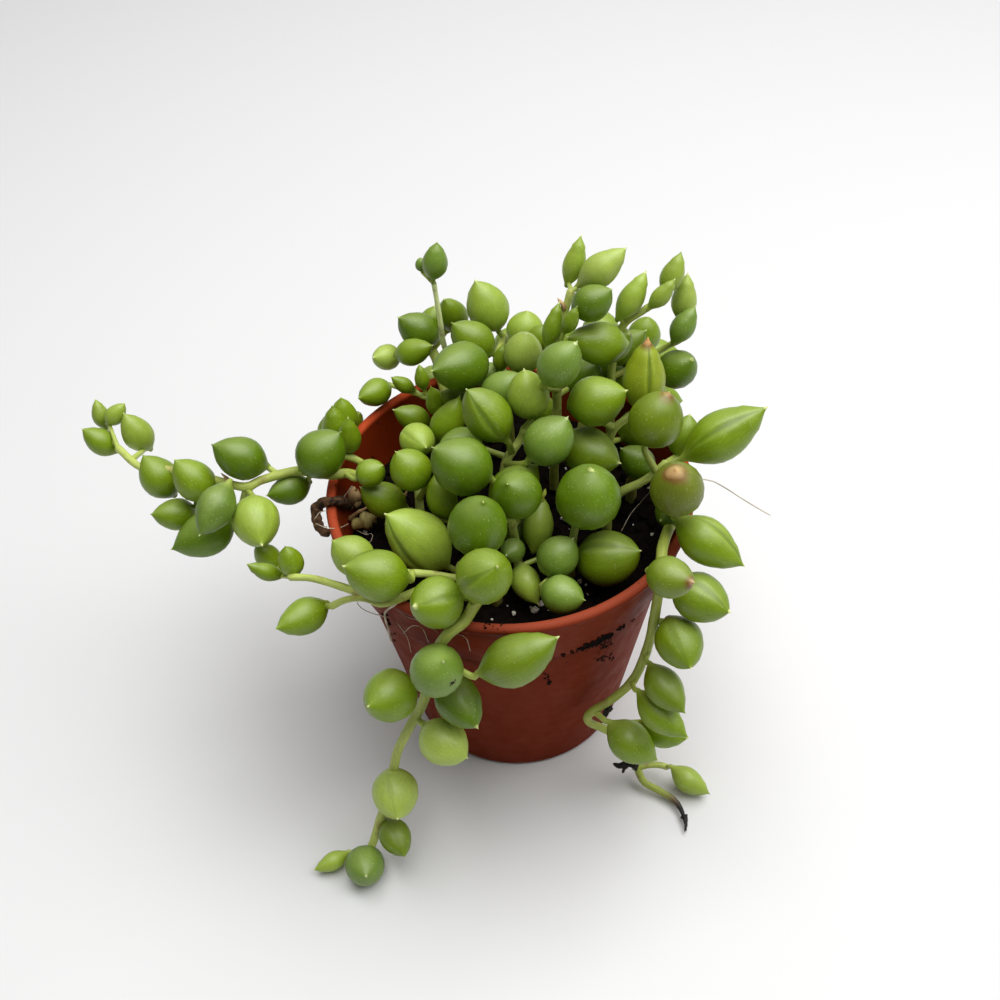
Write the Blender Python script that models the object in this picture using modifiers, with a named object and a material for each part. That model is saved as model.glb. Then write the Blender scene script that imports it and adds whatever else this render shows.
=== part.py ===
"""A potted string of watermelons: a small nursery pot, its soil and the leafy stems that stand in it.

Metres, +Z up. The origin is under the middle of the pot, on the surface that it stands on.
"""

import bisect
import math
import random

import bmesh
import bpy
from mathutils import Vector

MM = 0.001
SHARP_ANGLE = math.radians(48)

# Pot, in mm: a turned shell with a deep collar under its rounded lip
POT_HEIGHT = 50.0
RIM_RADIUS = 27.5
BASE_RADIUS = 17.8
COLLAR_DEPTH = 10.8
COLLAR_FOOT_RADIUS = 25.2
BODY_TOP_RADIUS = 24.1
WALL = 1.1
LIP_RADIUS = 0.8
BASE_ROUNDING = 1.2
POT_SIDES = 36
DRAIN_HOLES = 6
DRAIN_RADIUS = 2.2
DRAIN_RING_RADIUS = 12.4
DRAIN_SIDES = 8

# Soil, in mm
SOIL_TOP = 41.6
SOIL_GAP = 0.35
SOIL_BUMP = 0.7
SOIL_SIDES = 24
SOIL_RINGS = 4
ROOT_DEPTH = 6.0
ROOT_STAND = 4.2
HOLE_GAP = 0.45
HOLE_SIDES = 6

# Plant, in mm
CLEAR = 0.4
LEAF_SIDES = 6
LEAF_RINGS = 6
LEAF_TIP_REACH = 0.56
LEAF_BASE_REACH = 0.48
LEAF_BELLY = 0.46
LEAF_RING_SHARES = (0.15, 0.46, 0.8)
FACET_SWELL = 1.07
PETIOLE = 1.2
STEM_STEP = 5.0
CURVE_POINTS = 12
HIDDEN_LEAF_SEED = 11

# How leaves are slid clear of each other, in mm: the longest slide of one pass, the share of it that is
# taken, and the share of the way back to the given place
SETTLE_PASSES = 120
SETTLE_SLIDE = 1.0
SETTLE_SHARE = 0.5
SETTLE_RETURN = 0.01
LEAF_OVERLAP = 0.2
SURFACE_CLEAR = 0.3
WALL_CLEAR = 0.65

# The view that the plant was read from: the eye, the point it looks at, its tilt and its focal length
EYE = Vector((0, -134.4, 190.2))
AIM = Vector((-1.5, 0, 46.5))
TILT = math.radians(-3)
FOCAL_PX = 1300
MIDDLE_PX = 500


def view_axes():
    """The view's right, up and forward directions."""
    forward = (AIM - EYE).normalized()
    level = forward.cross(Vector((0, 0, 1))).normalized()
    right = level * math.cos(TILT) + level.cross(forward) * math.sin(TILT)
    return right, right.cross(forward), forward


RIGHT, UP, FORWARD = view_axes()


def sight(x, y):
    """The line from the eye through pixel x, y, one unit deep."""
    return FORWARD + RIGHT * ((x - MIDDLE_PX) / FOCAL_PX) + UP * ((MIDDLE_PX - y) / FOCAL_PX)


def seen(x, y, height):
    """The point at this height above the table, in mm, that shows at pixel x, y."""
    return EYE + sight(x, y) * ((height - EYE.z) / sight(x, y).z)


def at(x, y, z):
    """A point given straight in mm."""
    return Vector((x, y, z))


def rooted(x, y):
    """The upright foot of a stem, from inside the soil to just above it."""
    return [at(x, y, SOIL_TOP - ROOT_DEPTH), at(x, y, SOIL_TOP + 1.2), at(x, y, SOIL_TOP + ROOT_STAND)]


class Leaf:
    """A plump pointed leaf: its middle, the direction of its tip, its length and its width, in mm."""

    def __init__(self, middle, axis, length, width):
        self.middle = middle
        self.axis = axis.normalized()
        self.length = length
        self.width = width
        self.given = middle.copy()
        self.sight = (EYE - middle).normalized()

    def balls(self):
        """Balls that fill the leaf, each a centre and a radius."""
        shares = ((-0.34, 0.62), (-0.17, 0.9), (0, 1), (0.17, 0.9), (0.36, 0.55))
        return [(self.middle + self.axis * along * self.length, self.width / 2 * share) for along, share in shares]

    def base(self):
        return self.middle - self.axis * LEAF_BASE_REACH * self.length


def leaf(x, y, tip_x, tip_y, height, length, width):
    """A leaf read from the view: pixels of its middle and its tip, its middle's height, then its size."""
    middle = seen(x, y, height)
    reach = LEAF_TIP_REACH * length
    across = EYE + sight(tip_x, tip_y) * (middle - EYE).dot(FORWARD) - middle
    across *= min(1, 0.995 * reach / across.length)
    toward = (EYE - middle).normalized() * math.sqrt(reach**2 - across.length_squared)
    return Leaf(middle, across + toward, length, width)


class Stem:
    """A leafy stem: its routes, the first one rooted, and its leaves, with its thickness from foot to tip."""

    def __init__(self, name, routes, leaves, thick=2.0, thin=1.5):
        self.name = name
        self.routes = routes
        self.leaves = leaves
        self.thick = thick
        self.thin = thin


def along(points, step):
    """Points one step apart on a smooth curve through the given points."""
    ends = [points[0] * 2 - points[1], *points, points[-1] * 2 - points[-2]]
    fine = []
    for before, start, end, after in zip(ends, ends[1:], ends[2:], ends[3:]):
        for i in range(CURVE_POINTS):
            t = i / CURVE_POINTS
            fine.append(
                start
                + (end - before) * (t / 2)
                + (before * 2 - start * 5 + end * 4 - after) * (t * t / 2)
                + (start * 3 - before - end * 3 + after) * (t**3 / 2)
            )
    fine.append(points[-1])
    travelled = [0.0]
    for start, end in zip(fine, fine[1:]):
        travelled.append(travelled[-1] + (end - start).length)
    count = max(2, round(travelled[-1] / step))
    return [fine[bisect.bisect_left(travelled, travelled[-1] * i / count)] for i in range(count)] + [points[-1]]


def leaves_behind(route, count, start, draw):
    """Leaves on the side that the view doesn't reach, set by turns to the left and right of a stem."""
    points = along(route, 1.0)
    points = points[int(start * len(points)):]
    leaves = []
    for i in range(count):
        place = round((i + 0.5) / count * (len(points) - 2))
        here, ahead = points[place], points[place + 1] - points[place]
        outward = Vector((here.x, here.y, 0)).normalized()
        side = ahead.cross(outward).normalized() * (1 if i % 2 else -1)
        length = draw.uniform(7.2, 9.4)
        axis = (side * draw.uniform(0.7, 1.0) + outward * draw.uniform(0.35, 0.8) + ahead.normalized() * 0.5).normalized()
        leaves.append(Leaf(here + axis * (length / 2 + 1.3), axis, length, length * draw.uniform(0.66, 0.8)))
    return leaves


def plant():
    """Every leafy stem. A route's first points are its foot in the soil."""
    draw = random.Random(HIDDEN_LEAF_SEED)
    back_rim = [*rooted(-8.5, 17.5), at(-10, 22, 50.5), at(-11, 26, 53), at(-12.5, 30, 53), at(-12.5, 33.5, 49),
                at(-9, 35, 41), at(-6.5, 34, 32), at(-5, 32.5, 24)]
    back_middle = [*rooted(0.5, 14.5), at(0, 15.5, 53), at(-0.5, 18, 57), at(-0.5, 22, 57.5), at(1, 27, 55.5),
                   at(4, 31, 51), at(6, 33.5, 44), at(6, 33, 36)]
    back_right = [*rooted(12, 15.5), at(14, 19.5, 51), at(16, 24.5, 52.8), at(18.5, 27.5, 51), at(21, 28, 45),
                  at(21.5, 26.5, 36), at(20, 25.5, 27), at(20.5, 27, 18)]
    return [
        Stem("front_trailing_stem", [
            [*rooted(-2.5, -15.8), seen(484, 590, 51), seen(465, 620, 51.9), seen(450, 632, 51),
             seen(438, 648, 47.5), seen(431, 670, 41), seen(424, 700, 34), seen(418, 712, 31),
             seen(408, 730, 28), seen(398, 750, 23.5), seen(394, 767, 20), seen(388, 795, 14),
             seen(380, 820, 9), seen(372, 845, 5), seen(364, 856, 2.6)],
        ], [
            leaf(484, 576, 500, 565, 57.5, 9.0, 7.5),
            leaf(438, 602, 412, 607, 54.5, 8.3, 7.3),
            leaf(437, 670, 443, 663, 47, 9.0, 7.5),
            leaf(391, 695, 369, 708, 38, 9.3, 7.7),
            leaf(515, 660, 561, 640, 48.5, 13.6, 7.3),
            leaf(458, 700, 477, 729, 37, 10.0, 6.6),
            leaf(443, 741, 466, 760, 30, 8.8, 7.0),
            leaf(395, 792, 398, 818, 17, 9.0, 7.2),
            leaf(395, 836, 405, 856, 8, 7.3, 5.0),
            leaf(365, 865, 366, 877, 3.6, 7.6, 6.3),
            leaf(333, 861, 315, 871, 2.2, 6.0, 3.0),
        ], 2.2, 1.6),
        Stem("right_trailing_stem", [
            [*rooted(18.8, 3.5), at(20.6, 0.6, 49.6), at(22.4, -2.4, 50.9), seen(672, 518, 50.8),
             seen(668, 530, 52), seen(662, 550, 52.8), seen(661, 577, 50.8), seen(657, 602, 46),
             seen(652, 630, 39.5), seen(645, 655, 33), seen(633, 680, 27.5), seen(615, 697, 24),
             seen(598, 708, 21), seen(588, 715, 18.8), seen(589, 722, 16.8), seen(600, 727, 15),
             seen(612, 733, 12.5), seen(624, 745, 9.2), seen(632, 758, 6), seen(637, 768, 3.6),
             seen(644, 782, 2), seen(658, 790, 1.5), seen(675, 801, 1.3), seen(683, 814, 1.2),
             seen(686, 828, 1.1)],
            [seen(637, 768, 3.6), seen(648, 765, 3.5), seen(660, 765, 3.4), seen(667, 767, 3.3)],
        ], [
            leaf(677, 489, 677, 471, 60, 9.5, 7.6),
            leaf(638, 462, 619, 449, 52, 7.5, 5.0),
            leaf(672, 511, 660, 523, 53, 6.0, 5.0),
            leaf(706, 541, 743, 568, 53, 11.5, 6.7),
            leaf(669, 577, 692, 584, 57, 8.0, 5.8),
            leaf(699, 597, 729, 613, 47, 9.6, 7.2),
            leaf(679, 641, 691, 668, 41, 9.4, 7.0),
            leaf(664, 687, 682, 713, 33, 9.2, 5.5),
            leaf(659, 713, 685, 738, 28, 10.0, 5.4),
            leaf(661, 731, 686, 740, 19, 8.6, 5.2),
            leaf(630, 741, 657, 763, 18, 9.4, 6.4),
            leaf(688, 780, 711, 797, 3.1, 7.6, 4.2),
        ], 2.2, 1.4),
        Stem("left_trailing_stem", [
            [*rooted(-17.5, 1.8), seen(355, 475, 51), seen(330, 475, 52.6), seen(297, 471, 53),
             seen(262, 480, 53), seen(245, 487, 53), seen(215, 480, 52.5), seen(185, 473, 52.5),
             seen(160, 468, 53), seen(140, 467, 53), seen(118, 448, 53)],
        ], [
            leaf(370, 473, 384, 466, 52, 5.2, 4.3),
            leaf(320, 454, 343, 433, 57, 9.3, 7.3),
            leaf(291, 489, 268, 497, 50, 7.5, 4.8),
            leaf(242, 458, 213, 447, 56, 9.2, 6.5),
            leaf(256, 520, 261, 548, 51, 9.5, 7.1),
            leaf(207, 533, 174, 551, 46, 10.5, 7.0),
            leaf(216, 507, 200, 536, 53, 9.0, 5.6),
            leaf(195, 481, 175, 462, 53, 8.5, 6.0),
            leaf(177, 514, 153, 516, 48, 7.5, 5.0),
            leaf(160, 478, 143, 457, 51, 8.2, 5.9),
            leaf(138, 434, 124, 416, 53, 7.7, 4.8),
            leaf(115, 415, 126, 403, 55, 5.2, 3.0),
            leaf(101, 416, 95, 400, 54, 5.3, 2.8),
            leaf(102, 442, 83, 431, 52, 6.8, 4.2),
        ], 2.0, 1.3),
        Stem("left_low_stem", [
            [*rooted(-11.5, -15.5), seen(420, 590, 50), seen(395, 600, 51.6), seen(378, 603, 51),
             seen(362, 594, 50.5), seen(330, 583, 50), seen(310, 578, 49), seen(290, 577, 48.5)],
            [seen(378, 603, 51), seen(362, 598, 50.5), seen(345, 600, 48.5), seen(332, 606, 46.5)],
        ], [
            leaf(291, 562, 285, 547, 49.5, 6.0, 3.8),
            leaf(268, 557, 256, 545, 47, 6.5, 3.8),
            leaf(267, 572, 247, 566, 47.5, 6.3, 2.6),
            leaf(305, 616, 278, 630, 44.5, 9.3, 5.4),
        ], 2.0, 1.2),
        Stem("left_front_stem", [
            [*rooted(-7.5, -12), at(-7.6, -15, 48.5), seen(460, 578, 50), seen(430, 574, 52.2),
             seen(412, 573, 53)],
        ], [
            leaf(420, 541, 386, 511, 51, 13.8, 8.4),
            leaf(379, 575, 343, 569, 56, 10.0, 7.2),
            leaf(354, 556, 331, 542, 54, 7.5, 5.8),
        ], 1.9, 1.2),
        Stem("left_rim_stem", [
            [*rooted(-19.8, 4.2), at(-20.6, 4.4, 49.3), at(-23.3, 4.8, 52), at(-27, 5.6, 52.6),
             at(-28.4, 8, 52.2), at(-27.8, 10.8, 52)],
        ], [
            leaf(335, 428, 333, 407, 54, 7.8, 4.2),
            leaf(344, 417, 341, 399, 52, 7.4, 4.4),
            leaf(349, 438, 347, 419, 53, 7.6, 3.8),
            leaf(354, 421, 360, 413, 50, 5.0, 3.0),
            leaf(328, 430, 330, 413, 50, 6.0, 3.4),
        ], 1.5, 1.2),
        Stem("crown_left_stem", [
            [*rooted(-13.5, -4), at(-13.5, -2, 49), at(-14, 3, 49.5), at(-14.5, 8, 49)],
        ], [
            leaf(442, 499, 434, 473, 53.3, 8.2, 4.6),
            leaf(385, 500, 360, 489, 48.5, 8.8, 5.6),
            leaf(411, 470, 396, 453, 55, 7.5, 6.2),
            leaf(417, 440, 428, 449, 54, 6.8, 5.3),
            leaf(414, 418, 393, 411, 53, 7.0, 4.2),
        ], 1.8, 1.3),
        Stem("crown_front_stem", [
            [*rooted(0.8, -10.5), at(0.3, -11, 52), at(0, -11.5, 55.5)],
        ], [
            leaf(478, 526, 482, 504, 59, 10.5, 8.3),
            leaf(517, 494, 506, 486, 61, 8.5, 7.1),
            leaf(513, 550, 506, 557, 50, 4.5, 3.6),
            leaf(520, 528, 515, 545, 50, 7.0, 5.0),
        ], 1.9, 1.3),
        Stem("crown_front_right_stem", [
            [*rooted(8.5, -11.5), at(8.8, -11.5, 50), at(9.5, -10.5, 54)],
        ], [
            leaf(526, 582, 537, 606, 47, 7.0, 4.3),
            leaf(561, 594, 584, 602, 47, 7.0, 5.6),
            leaf(557, 557, 575, 539, 50.5, 7.5, 6.0),
            leaf(606, 558, 642, 552, 50, 11.0, 8.2),
            leaf(588, 497, 592, 470, 59, 11.0, 9.3),
            leaf(538, 526, 543, 492, 50, 9.0, 4.6),
        ], 1.9, 1.3),
        Stem("crown_middle_stem", [
            [*rooted(-1.5, -3), at(-1.2, -2, 50), seen(506, 462, 55), seen(520, 440, 57.5), seen(525, 428, 60)],
        ], [
            leaf(463, 466, 431, 450, 63, 10.5, 8.3),
            leaf(488, 416, 466, 388, 65, 10.3, 6.9),
            leaf(462, 447, 440, 446, 57, 8.0, 6.0),
            leaf(513, 489, 542, 463, 57, 9.4, 6.6),
            leaf(548, 441, 569, 419, 63, 9.0, 7.0),
            leaf(528, 396, 524, 371, 65, 8.7, 6.2),
        ], 2.0, 1.4),
        Stem("crown_back_left_stem", [
            [*rooted(-8, 8.5), at(-8.3, 9.5, 49.5), at(-8.5, 12, 52.5), at(-10, 15, 53.5), at(-13, 17, 53)],
            [at(-8.5, 12, 52.5), at(-6.5, 13.5, 56.5), at(-4.5, 15, 60)],
        ], [
            leaf(447, 424, 461, 398, 57, 10.0, 5.2),
            leaf(404, 385, 391, 378, 55, 5.0, 2.5),
            leaf(422, 379, 419, 365, 56.5, 4.8, 2.4),
            leaf(437, 404, 430, 388, 55, 7.0, 3.4),
            leaf(455, 400, 441, 393, 57, 6.0, 3.6),
            leaf(462, 366, 432, 374, 63, 11.2, 7.5),
            leaf(376, 392, 359, 400, 53, 7.2, 4.5),
        ], 1.8, 1.2),
        Stem("back_rim_stem", [back_rim], [
            leaf(453, 316, 445, 301, 57, 8.4, 5.0),
            leaf(420, 331, 398, 319, 59, 8.5, 6.0),
            leaf(433, 326, 434, 307, 54, 7.4, 5.4),
            leaf(387, 357, 373, 359, 54, 6.0, 4.3),
            leaf(412, 352, 434, 347, 56, 8.0, 4.4),
            *leaves_behind(back_rim, 6, 0.66, draw),
        ], 2.0, 1.4),
        Stem("budding_stalk", [
            [*rooted(-6, 20.3), at(-7.5, 20.7, 53), seen(444, 345, 60), seen(440, 320, 65), seen(434, 284, 71)],
        ], [
            leaf(435, 263, 437, 244, 74.5, 6.5, 3.9),
            leaf(421, 265, 420, 258, 73, 2.4, 1.8),
        ], 1.6, 0.9),
        Stem("crown_back_stem", [back_middle], [
            leaf(501, 391, 521, 375, 61, 8.2, 5.8),
            leaf(494, 380, 482, 366, 55, 7.5, 5.2),
            leaf(501, 360, 503, 345, 60, 5.0, 2.6),
            leaf(523, 353, 526, 335, 63, 8.0, 6.0),
            leaf(525, 330, 528, 312, 60, 6.5, 6.0),
            leaf(540, 338, 545, 326, 60, 5.0, 4.0),
            leaf(474, 341, 451, 325, 61, 9.0, 6.2),
            leaf(488, 308, 476, 282, 63, 9.8, 6.8),
            *leaves_behind(back_middle, 5, 0.64, draw),
        ], 2.0, 1.4),
        Stem("tall_middle_stem", [
            [*rooted(7, 6), at(7.2, 5.8, 52), seen(557, 412, 57.5), seen(557, 392, 61.5), seen(557, 365, 66),
             seen(559, 340, 70), seen(565, 312, 74), seen(571, 291, 77)],
        ], [
            leaf(559, 365, 576, 344, 71, 8.5, 6.1),
            leaf(574, 264, 582, 238, 80, 7.7, 3.2),
            leaf(600, 270, 626, 250, 80, 9.0, 4.8),
            leaf(591, 303, 612, 291, 78, 7.0, 5.2),
            leaf(552, 328, 559, 303, 73, 7.0, 2.7),
            leaf(570, 322, 577, 308, 75, 4.8, 2.3),
            leaf(583, 378, 598, 366, 59, 8.0, 5.6),
            leaf(541, 410, 532, 399, 53, 7.5, 5.0),
        ], 2.0, 1.3),
        Stem("tall_right_stem", [
            [*rooted(16, 11), at(16, 11, 55), at(16, 11.5, 62), at(16.5, 11.5, 67), seen(625, 323, 70.5),
             seen(640, 313, 72), seen(652, 305, 73), seen(664, 302, 73.5)],
            [at(16, 11.5, 60), at(20, 13, 61), at(24, 13.6, 63.5), seen(681, 338, 66.5), seen(684, 324, 69.3)],
        ], [
            leaf(600, 343, 565, 340, 69, 10.4, 6.3),
            leaf(611, 343, 630, 335, 67, 8.0, 5.8),
            leaf(625, 348, 647, 332, 65, 8.0, 5.0),
            leaf(644, 335, 648, 318, 64, 6.5, 5.2),
            leaf(684, 301, 687, 275, 73, 8.0, 3.8),
            leaf(683, 327, 695, 308, 70, 6.5, 3.6),
            leaf(631, 299, 647, 273, 74.5, 8.3, 3.7),
            leaf(661, 296, 675, 281, 75.5, 5.8, 2.6),
            leaf(672, 276, 682, 254, 78, 6.8, 3.4),
            leaf(613, 370, 600, 360, 57, 9.0, 6.6),
            leaf(633, 380, 648, 376, 55.5, 7.5, 5.4),
        ], 1.9, 1.2),
        Stem("crown_right_stem", [
            [*rooted(14.5, 2.5), at(14.7, 3, 52), at(15.5, 3, 57), at(18, 3.8, 59), at(21.5, 5.5, 59.5)],
        ], [
            leaf(588, 451, 620, 466, 57.5, 10.8, 7.2),
            leaf(595, 401, 627, 393, 66, 9.6, 7.2),
            leaf(636, 428, 648, 414, 54, 8.0, 5.6),
            leaf(644, 380, 647, 338, 67, 12.0, 6.2),
            leaf(677, 369, 692, 361, 64, 7.6, 5.8),
        ], 1.9, 1.3),
        Stem("right_rim_stem", [
            [*rooted(14.5, -3.5), at(15, -3.3, 48), seen(621, 492, 51), seen(640, 483, 53), seen(655, 473, 55),
             seen(666, 463, 56.5)],
        ], [
            leaf(721, 436, 766, 409, 61, 14.0, 7.4),
            leaf(656, 420, 668, 395, 67, 9.6, 7.7),
            leaf(684, 438, 690, 415, 58, 7.5, 5.0),
        ], 2.0, 1.4),
        Stem("back_right_stem", [back_right], leaves_behind(back_right, 9, 0.34, draw), 2.0, 1.4),
    ]


def nearest(point, routes):
    """The place on a stem's routes that is nearest to a point."""
    return min((place for route in routes for place in route), key=lambda place: (place - point).length)


def wall_radius(height):
    """The middle of the pot's wall at this height."""
    foot = POT_HEIGHT - COLLAR_DEPTH
    if height > foot:
        share = (height - foot) / COLLAR_DEPTH
        return COLLAR_FOOT_RADIUS + (RIM_RADIUS - COLLAR_FOOT_RADIUS) * share - WALL / 2
    return BASE_RADIUS + (BODY_TOP_RADIUS - BASE_RADIUS) * max(0, height) / foot - WALL / 2


def bounds_push(centre, radius):
    """How far and which way a ball has to move to clear the table, the soil and the pot's wall."""
    across = math.hypot(centre.x, centre.y)
    over_soil = across < BODY_TOP_RADIUS and centre.z > SOIL_TOP - ROOT_STAND
    low = SURFACE_CLEAR + (SOIL_TOP + SOIL_BUMP if over_soil else 0)
    if centre.z - radius < low:
        return Vector((0, 0, low + radius - centre.z))
    height = min(centre.z, POT_HEIGHT - LIP_RADIUS)
    wall = Vector((centre.x, centre.y, 0)).normalized() * wall_radius(height) + Vector((0, 0, height))
    apart = centre - wall
    short = WALL / 2 + radius + WALL_CLEAR - apart.length
    return apart.normalized() * short if short > 0 else Vector()


def settle(stems):
    """Slides leaves along the view's lines of sight until they clear each other, the stems and the pot."""
    leaves = [(stem, one) for stem in stems for one in stem.leaves]
    tubes = {stem.name: [(p, stem.thick / 2) for route in stem.routes for p in along(route, 1.2)] for stem in stems}
    for _ in range(SETTLE_PASSES):
        for i, (stem, one) in enumerate(leaves):
            shift = 0.0
            for other_stem, other in leaves[:i]:
                if (one.middle - other.middle).length > (one.length + other.length) / 2 + CLEAR:
                    continue
                push = slide_apart(one.balls(), other.balls(), one.sight, other_stem is not stem)
                one.middle += one.sight * push / 2
                other.middle -= other.sight * push / 2
            for other_stem in stems:
                if other_stem is not stem:
                    near = [b for b in tubes[other_stem.name] if (b[0] - one.middle).length < one.length]
                    shift += slide_apart(one.balls(), near, one.sight, True)
            for centre, radius in one.balls():
                shift += bounds_push(centre, radius).dot(one.sight)
            one.middle += one.sight * max(-SETTLE_SLIDE, min(SETTLE_SLIDE, shift)) * SETTLE_SHARE
            one.middle += (one.given - one.middle) * SETTLE_RETURN


def slide_apart(balls, others, line, apart_needed):
    """How far to slide the first balls along the line, at the place where they cross the others most."""
    worst, slide = 0.0, 0.0
    gap = CLEAR if apart_needed else -LEAF_OVERLAP
    for centre, radius in balls:
        for other_centre, other_radius in others:
            offset = centre - other_centre
            deep = radius + other_radius + gap - offset.length
            if deep > worst:
                ahead = offset.dot(line)
                side = offset - line * ahead
                needed = math.sqrt(max(0, (radius + other_radius + gap) ** 2 - side.length_squared))
                worst = deep
                slide = needed - ahead if ahead >= 0 else -needed - ahead
    return max(-SETTLE_SLIDE, min(SETTLE_SLIDE, slide))


def add_material(name, red, green, blue, roughness):
    material = bpy.data.materials.new(name)
    material.use_nodes = True
    shader = material.node_tree.nodes["Principled BSDF"]
    shader.inputs["Base Color"].default_value = (red, green, blue, 1)
    shader.inputs["Roughness"].default_value = roughness
    shader.inputs["Metallic"].default_value = 0
    return material


def add_object(name, mesh, collection):
    made = bpy.data.objects.new(name, mesh)
    collection.objects.link(made)
    return made


def finish(made, material):
    """Gives a piece its material and smooth shading, with its real edges kept sharp."""
    made.data.materials.append(material)
    made.data.shade_smooth()
    made.data.set_sharp_from_angle(angle=SHARP_ANGLE)


def evaluated_mesh(source):
    """The object's mesh with its modifiers applied and the loose caps of a curve welded."""
    mesh = bpy.data.meshes.new_from_object(source.evaluated_get(bpy.context.evaluated_depsgraph_get()))
    bm = bmesh.new()
    bm.from_mesh(mesh)
    bmesh.ops.remove_doubles(bm, verts=bm.verts, dist=1e-6)
    bm.to_mesh(mesh)
    bm.free()
    return mesh


def leaf_width(share):
    """A leaf's width, as a share of its greatest, at a share of the way from its base to its tip."""
    tipward = share > LEAF_BELLY
    reach = abs(share - LEAF_BELLY) / (1 - LEAF_BELLY if tipward else LEAF_BELLY)
    return (1 - min(1, reach) ** 2) ** (0.72 if tipward else 0.5)


def leaf_sections(one, foot):
    """Centre, direction and radius of each ring of a leaf, from its foot inside the stem to its tip."""
    base, tip = one.base(), one.middle + one.axis * LEAF_TIP_REACH * one.length
    stalk = (base - foot).normalized()
    bend = (stalk + one.axis).normalized()
    sections = [
        (foot - stalk * 0.4 * PETIOLE, stalk, 0),
        (foot, stalk, PETIOLE / 2),
        (base, bend, 0.55 * PETIOLE),
    ]
    for share in LEAF_RING_SHARES:
        centre = one.middle + one.axis * (share - LEAF_BASE_REACH) * one.length
        sections.append((centre, one.axis, leaf_width(share) * one.width / 2 * FACET_SWELL))
    return [*sections, (tip, one.axis, 0)]


def add_leaf(one, routes, collection):
    """A sphere drawn out into a plump leaf with a point, on a short stalk that roots in its stem."""
    sections = leaf_sections(one, nearest(one.base(), routes))
    bm = bmesh.new()
    bmesh.ops.create_uvsphere(bm, u_segments=LEAF_SIDES, v_segments=LEAF_RINGS, radius=1)
    for vert in bm.verts:
        ring = round((1 - math.acos(max(-1, min(1, vert.co.z))) / math.pi) * LEAF_RINGS)
        centre, direction, radius = sections[ring]
        flat = Vector((vert.co.x, vert.co.y, 0))
        turned = one.axis.to_track_quat("Z", "Y") @ flat.normalized() if radius else Vector()
        vert.co = (centre + one.axis.rotation_difference(direction) @ turned * radius) * MM
    mesh = bpy.data.meshes.new("leaf")
    bm.to_mesh(mesh)
    bm.free()
    return add_object("leaf", mesh, collection)


def add_tube(name, points, thick, thin, collection):
    """A stem: a curve with a round section that thins towards its tip, made a mesh."""
    curve = bpy.data.curves.new(name, "CURVE")
    curve.dimensions = "3D"
    curve.bevel_depth = thick / 2 * MM
    curve.bevel_resolution = 1
    curve.use_fill_caps = True
    spline = curve.splines.new("POLY")
    spline.points.add(len(points) - 1)
    for i, (place, point) in enumerate(zip(spline.points, points)):
        place.co = (*(point * MM), 1)
        place.radius = 1 + (thin / thick - 1) * i / (len(points) - 1)
    guide = add_object(name + "_guide", curve, collection)
    bpy.context.view_layer.update()
    mesh = evaluated_mesh(guide)
    bpy.data.objects.remove(guide)
    return add_object(name, mesh, collection)


def add_stem(stem, material, collection):
    """One stem with its side shoots and leaves, joined into one solid."""
    repeats = bpy.data.collections.new(stem.name + "_repeats")
    bpy.context.scene.collection.children.link(repeats)
    routes = [along(route, 1.0) for route in stem.routes]
    tube = add_tube(stem.name, along(stem.routes[0], STEM_STEP), stem.thick, stem.thin, collection)
    for route in stem.routes[1:]:
        add_tube("shoot", along(route, STEM_STEP), stem.thin, stem.thin * 0.8, repeats)
    for one in stem.leaves:
        add_leaf(one, routes, repeats)
    joint = tube.modifiers.new("join the leaves", "BOOLEAN")
    joint.operation = "UNION"
    joint.operand_type = "COLLECTION"
    joint.collection = repeats
    bpy.context.view_layer.update()
    tube.data = evaluated_mesh(tube)
    tube.modifiers.clear()
    for repeat in list(repeats.objects):
        bpy.data.objects.remove(repeat)
    bpy.data.collections.remove(repeats)
    finish(tube, material)
    return tube


def turned(name, profile, sides, collection):
    """A solid turned about the pot's axis from (radius, height) points that run down its outer side."""
    bm = bmesh.new()
    points = [bm.verts.new((radius * MM, 0, height * MM)) for radius, height in profile]
    for start, end in zip(points, points[1:]):
        bm.edges.new((start, end))
    mesh = bpy.data.meshes.new(name)
    bm.to_mesh(mesh)
    bm.free()
    made = add_object(name, mesh, collection)
    screw = made.modifiers.new("turn", "SCREW")
    screw.angle = math.tau
    screw.steps = screw.render_steps = sides
    screw.use_merge_vertices = True
    screw.merge_threshold = 1e-6
    bpy.context.view_layer.update()
    made.data = evaluated_mesh(made)
    made.modifiers.clear()
    return made


def pot_profile():
    """The pot's wall, from the middle of its floor up the inside, over the lip and down to its base."""
    foot = POT_HEIGHT - COLLAR_DEPTH
    lip = [
        (
            RIM_RADIUS - LIP_RADIUS + LIP_RADIUS * math.cos(angle),
            POT_HEIGHT - LIP_RADIUS + LIP_RADIUS * math.sin(angle),
        )
        for angle in (math.radians(step) for step in range(180, -1, -45))
    ]
    base_round = [
        (
            BASE_RADIUS - BASE_ROUNDING + BASE_ROUNDING * math.cos(angle),
            BASE_ROUNDING - BASE_ROUNDING * math.sin(angle),
        )
        for angle in (math.radians(step) for step in range(10, 91, 40))
    ]
    return [
        (0, WALL),
        (BASE_RADIUS - WALL - BASE_ROUNDING, WALL),
        (BASE_RADIUS - WALL, WALL + BASE_ROUNDING),
        (BODY_TOP_RADIUS - WALL, foot - 0.6),
        (COLLAR_FOOT_RADIUS - WALL, foot + 0.6),
        *lip,
        (RIM_RADIUS - 0.3, POT_HEIGHT - 2.6),
        (COLLAR_FOOT_RADIUS, foot),
        (BODY_TOP_RADIUS, foot - 0.1),
        *base_round,
        (0, 0),
    ]


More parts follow.
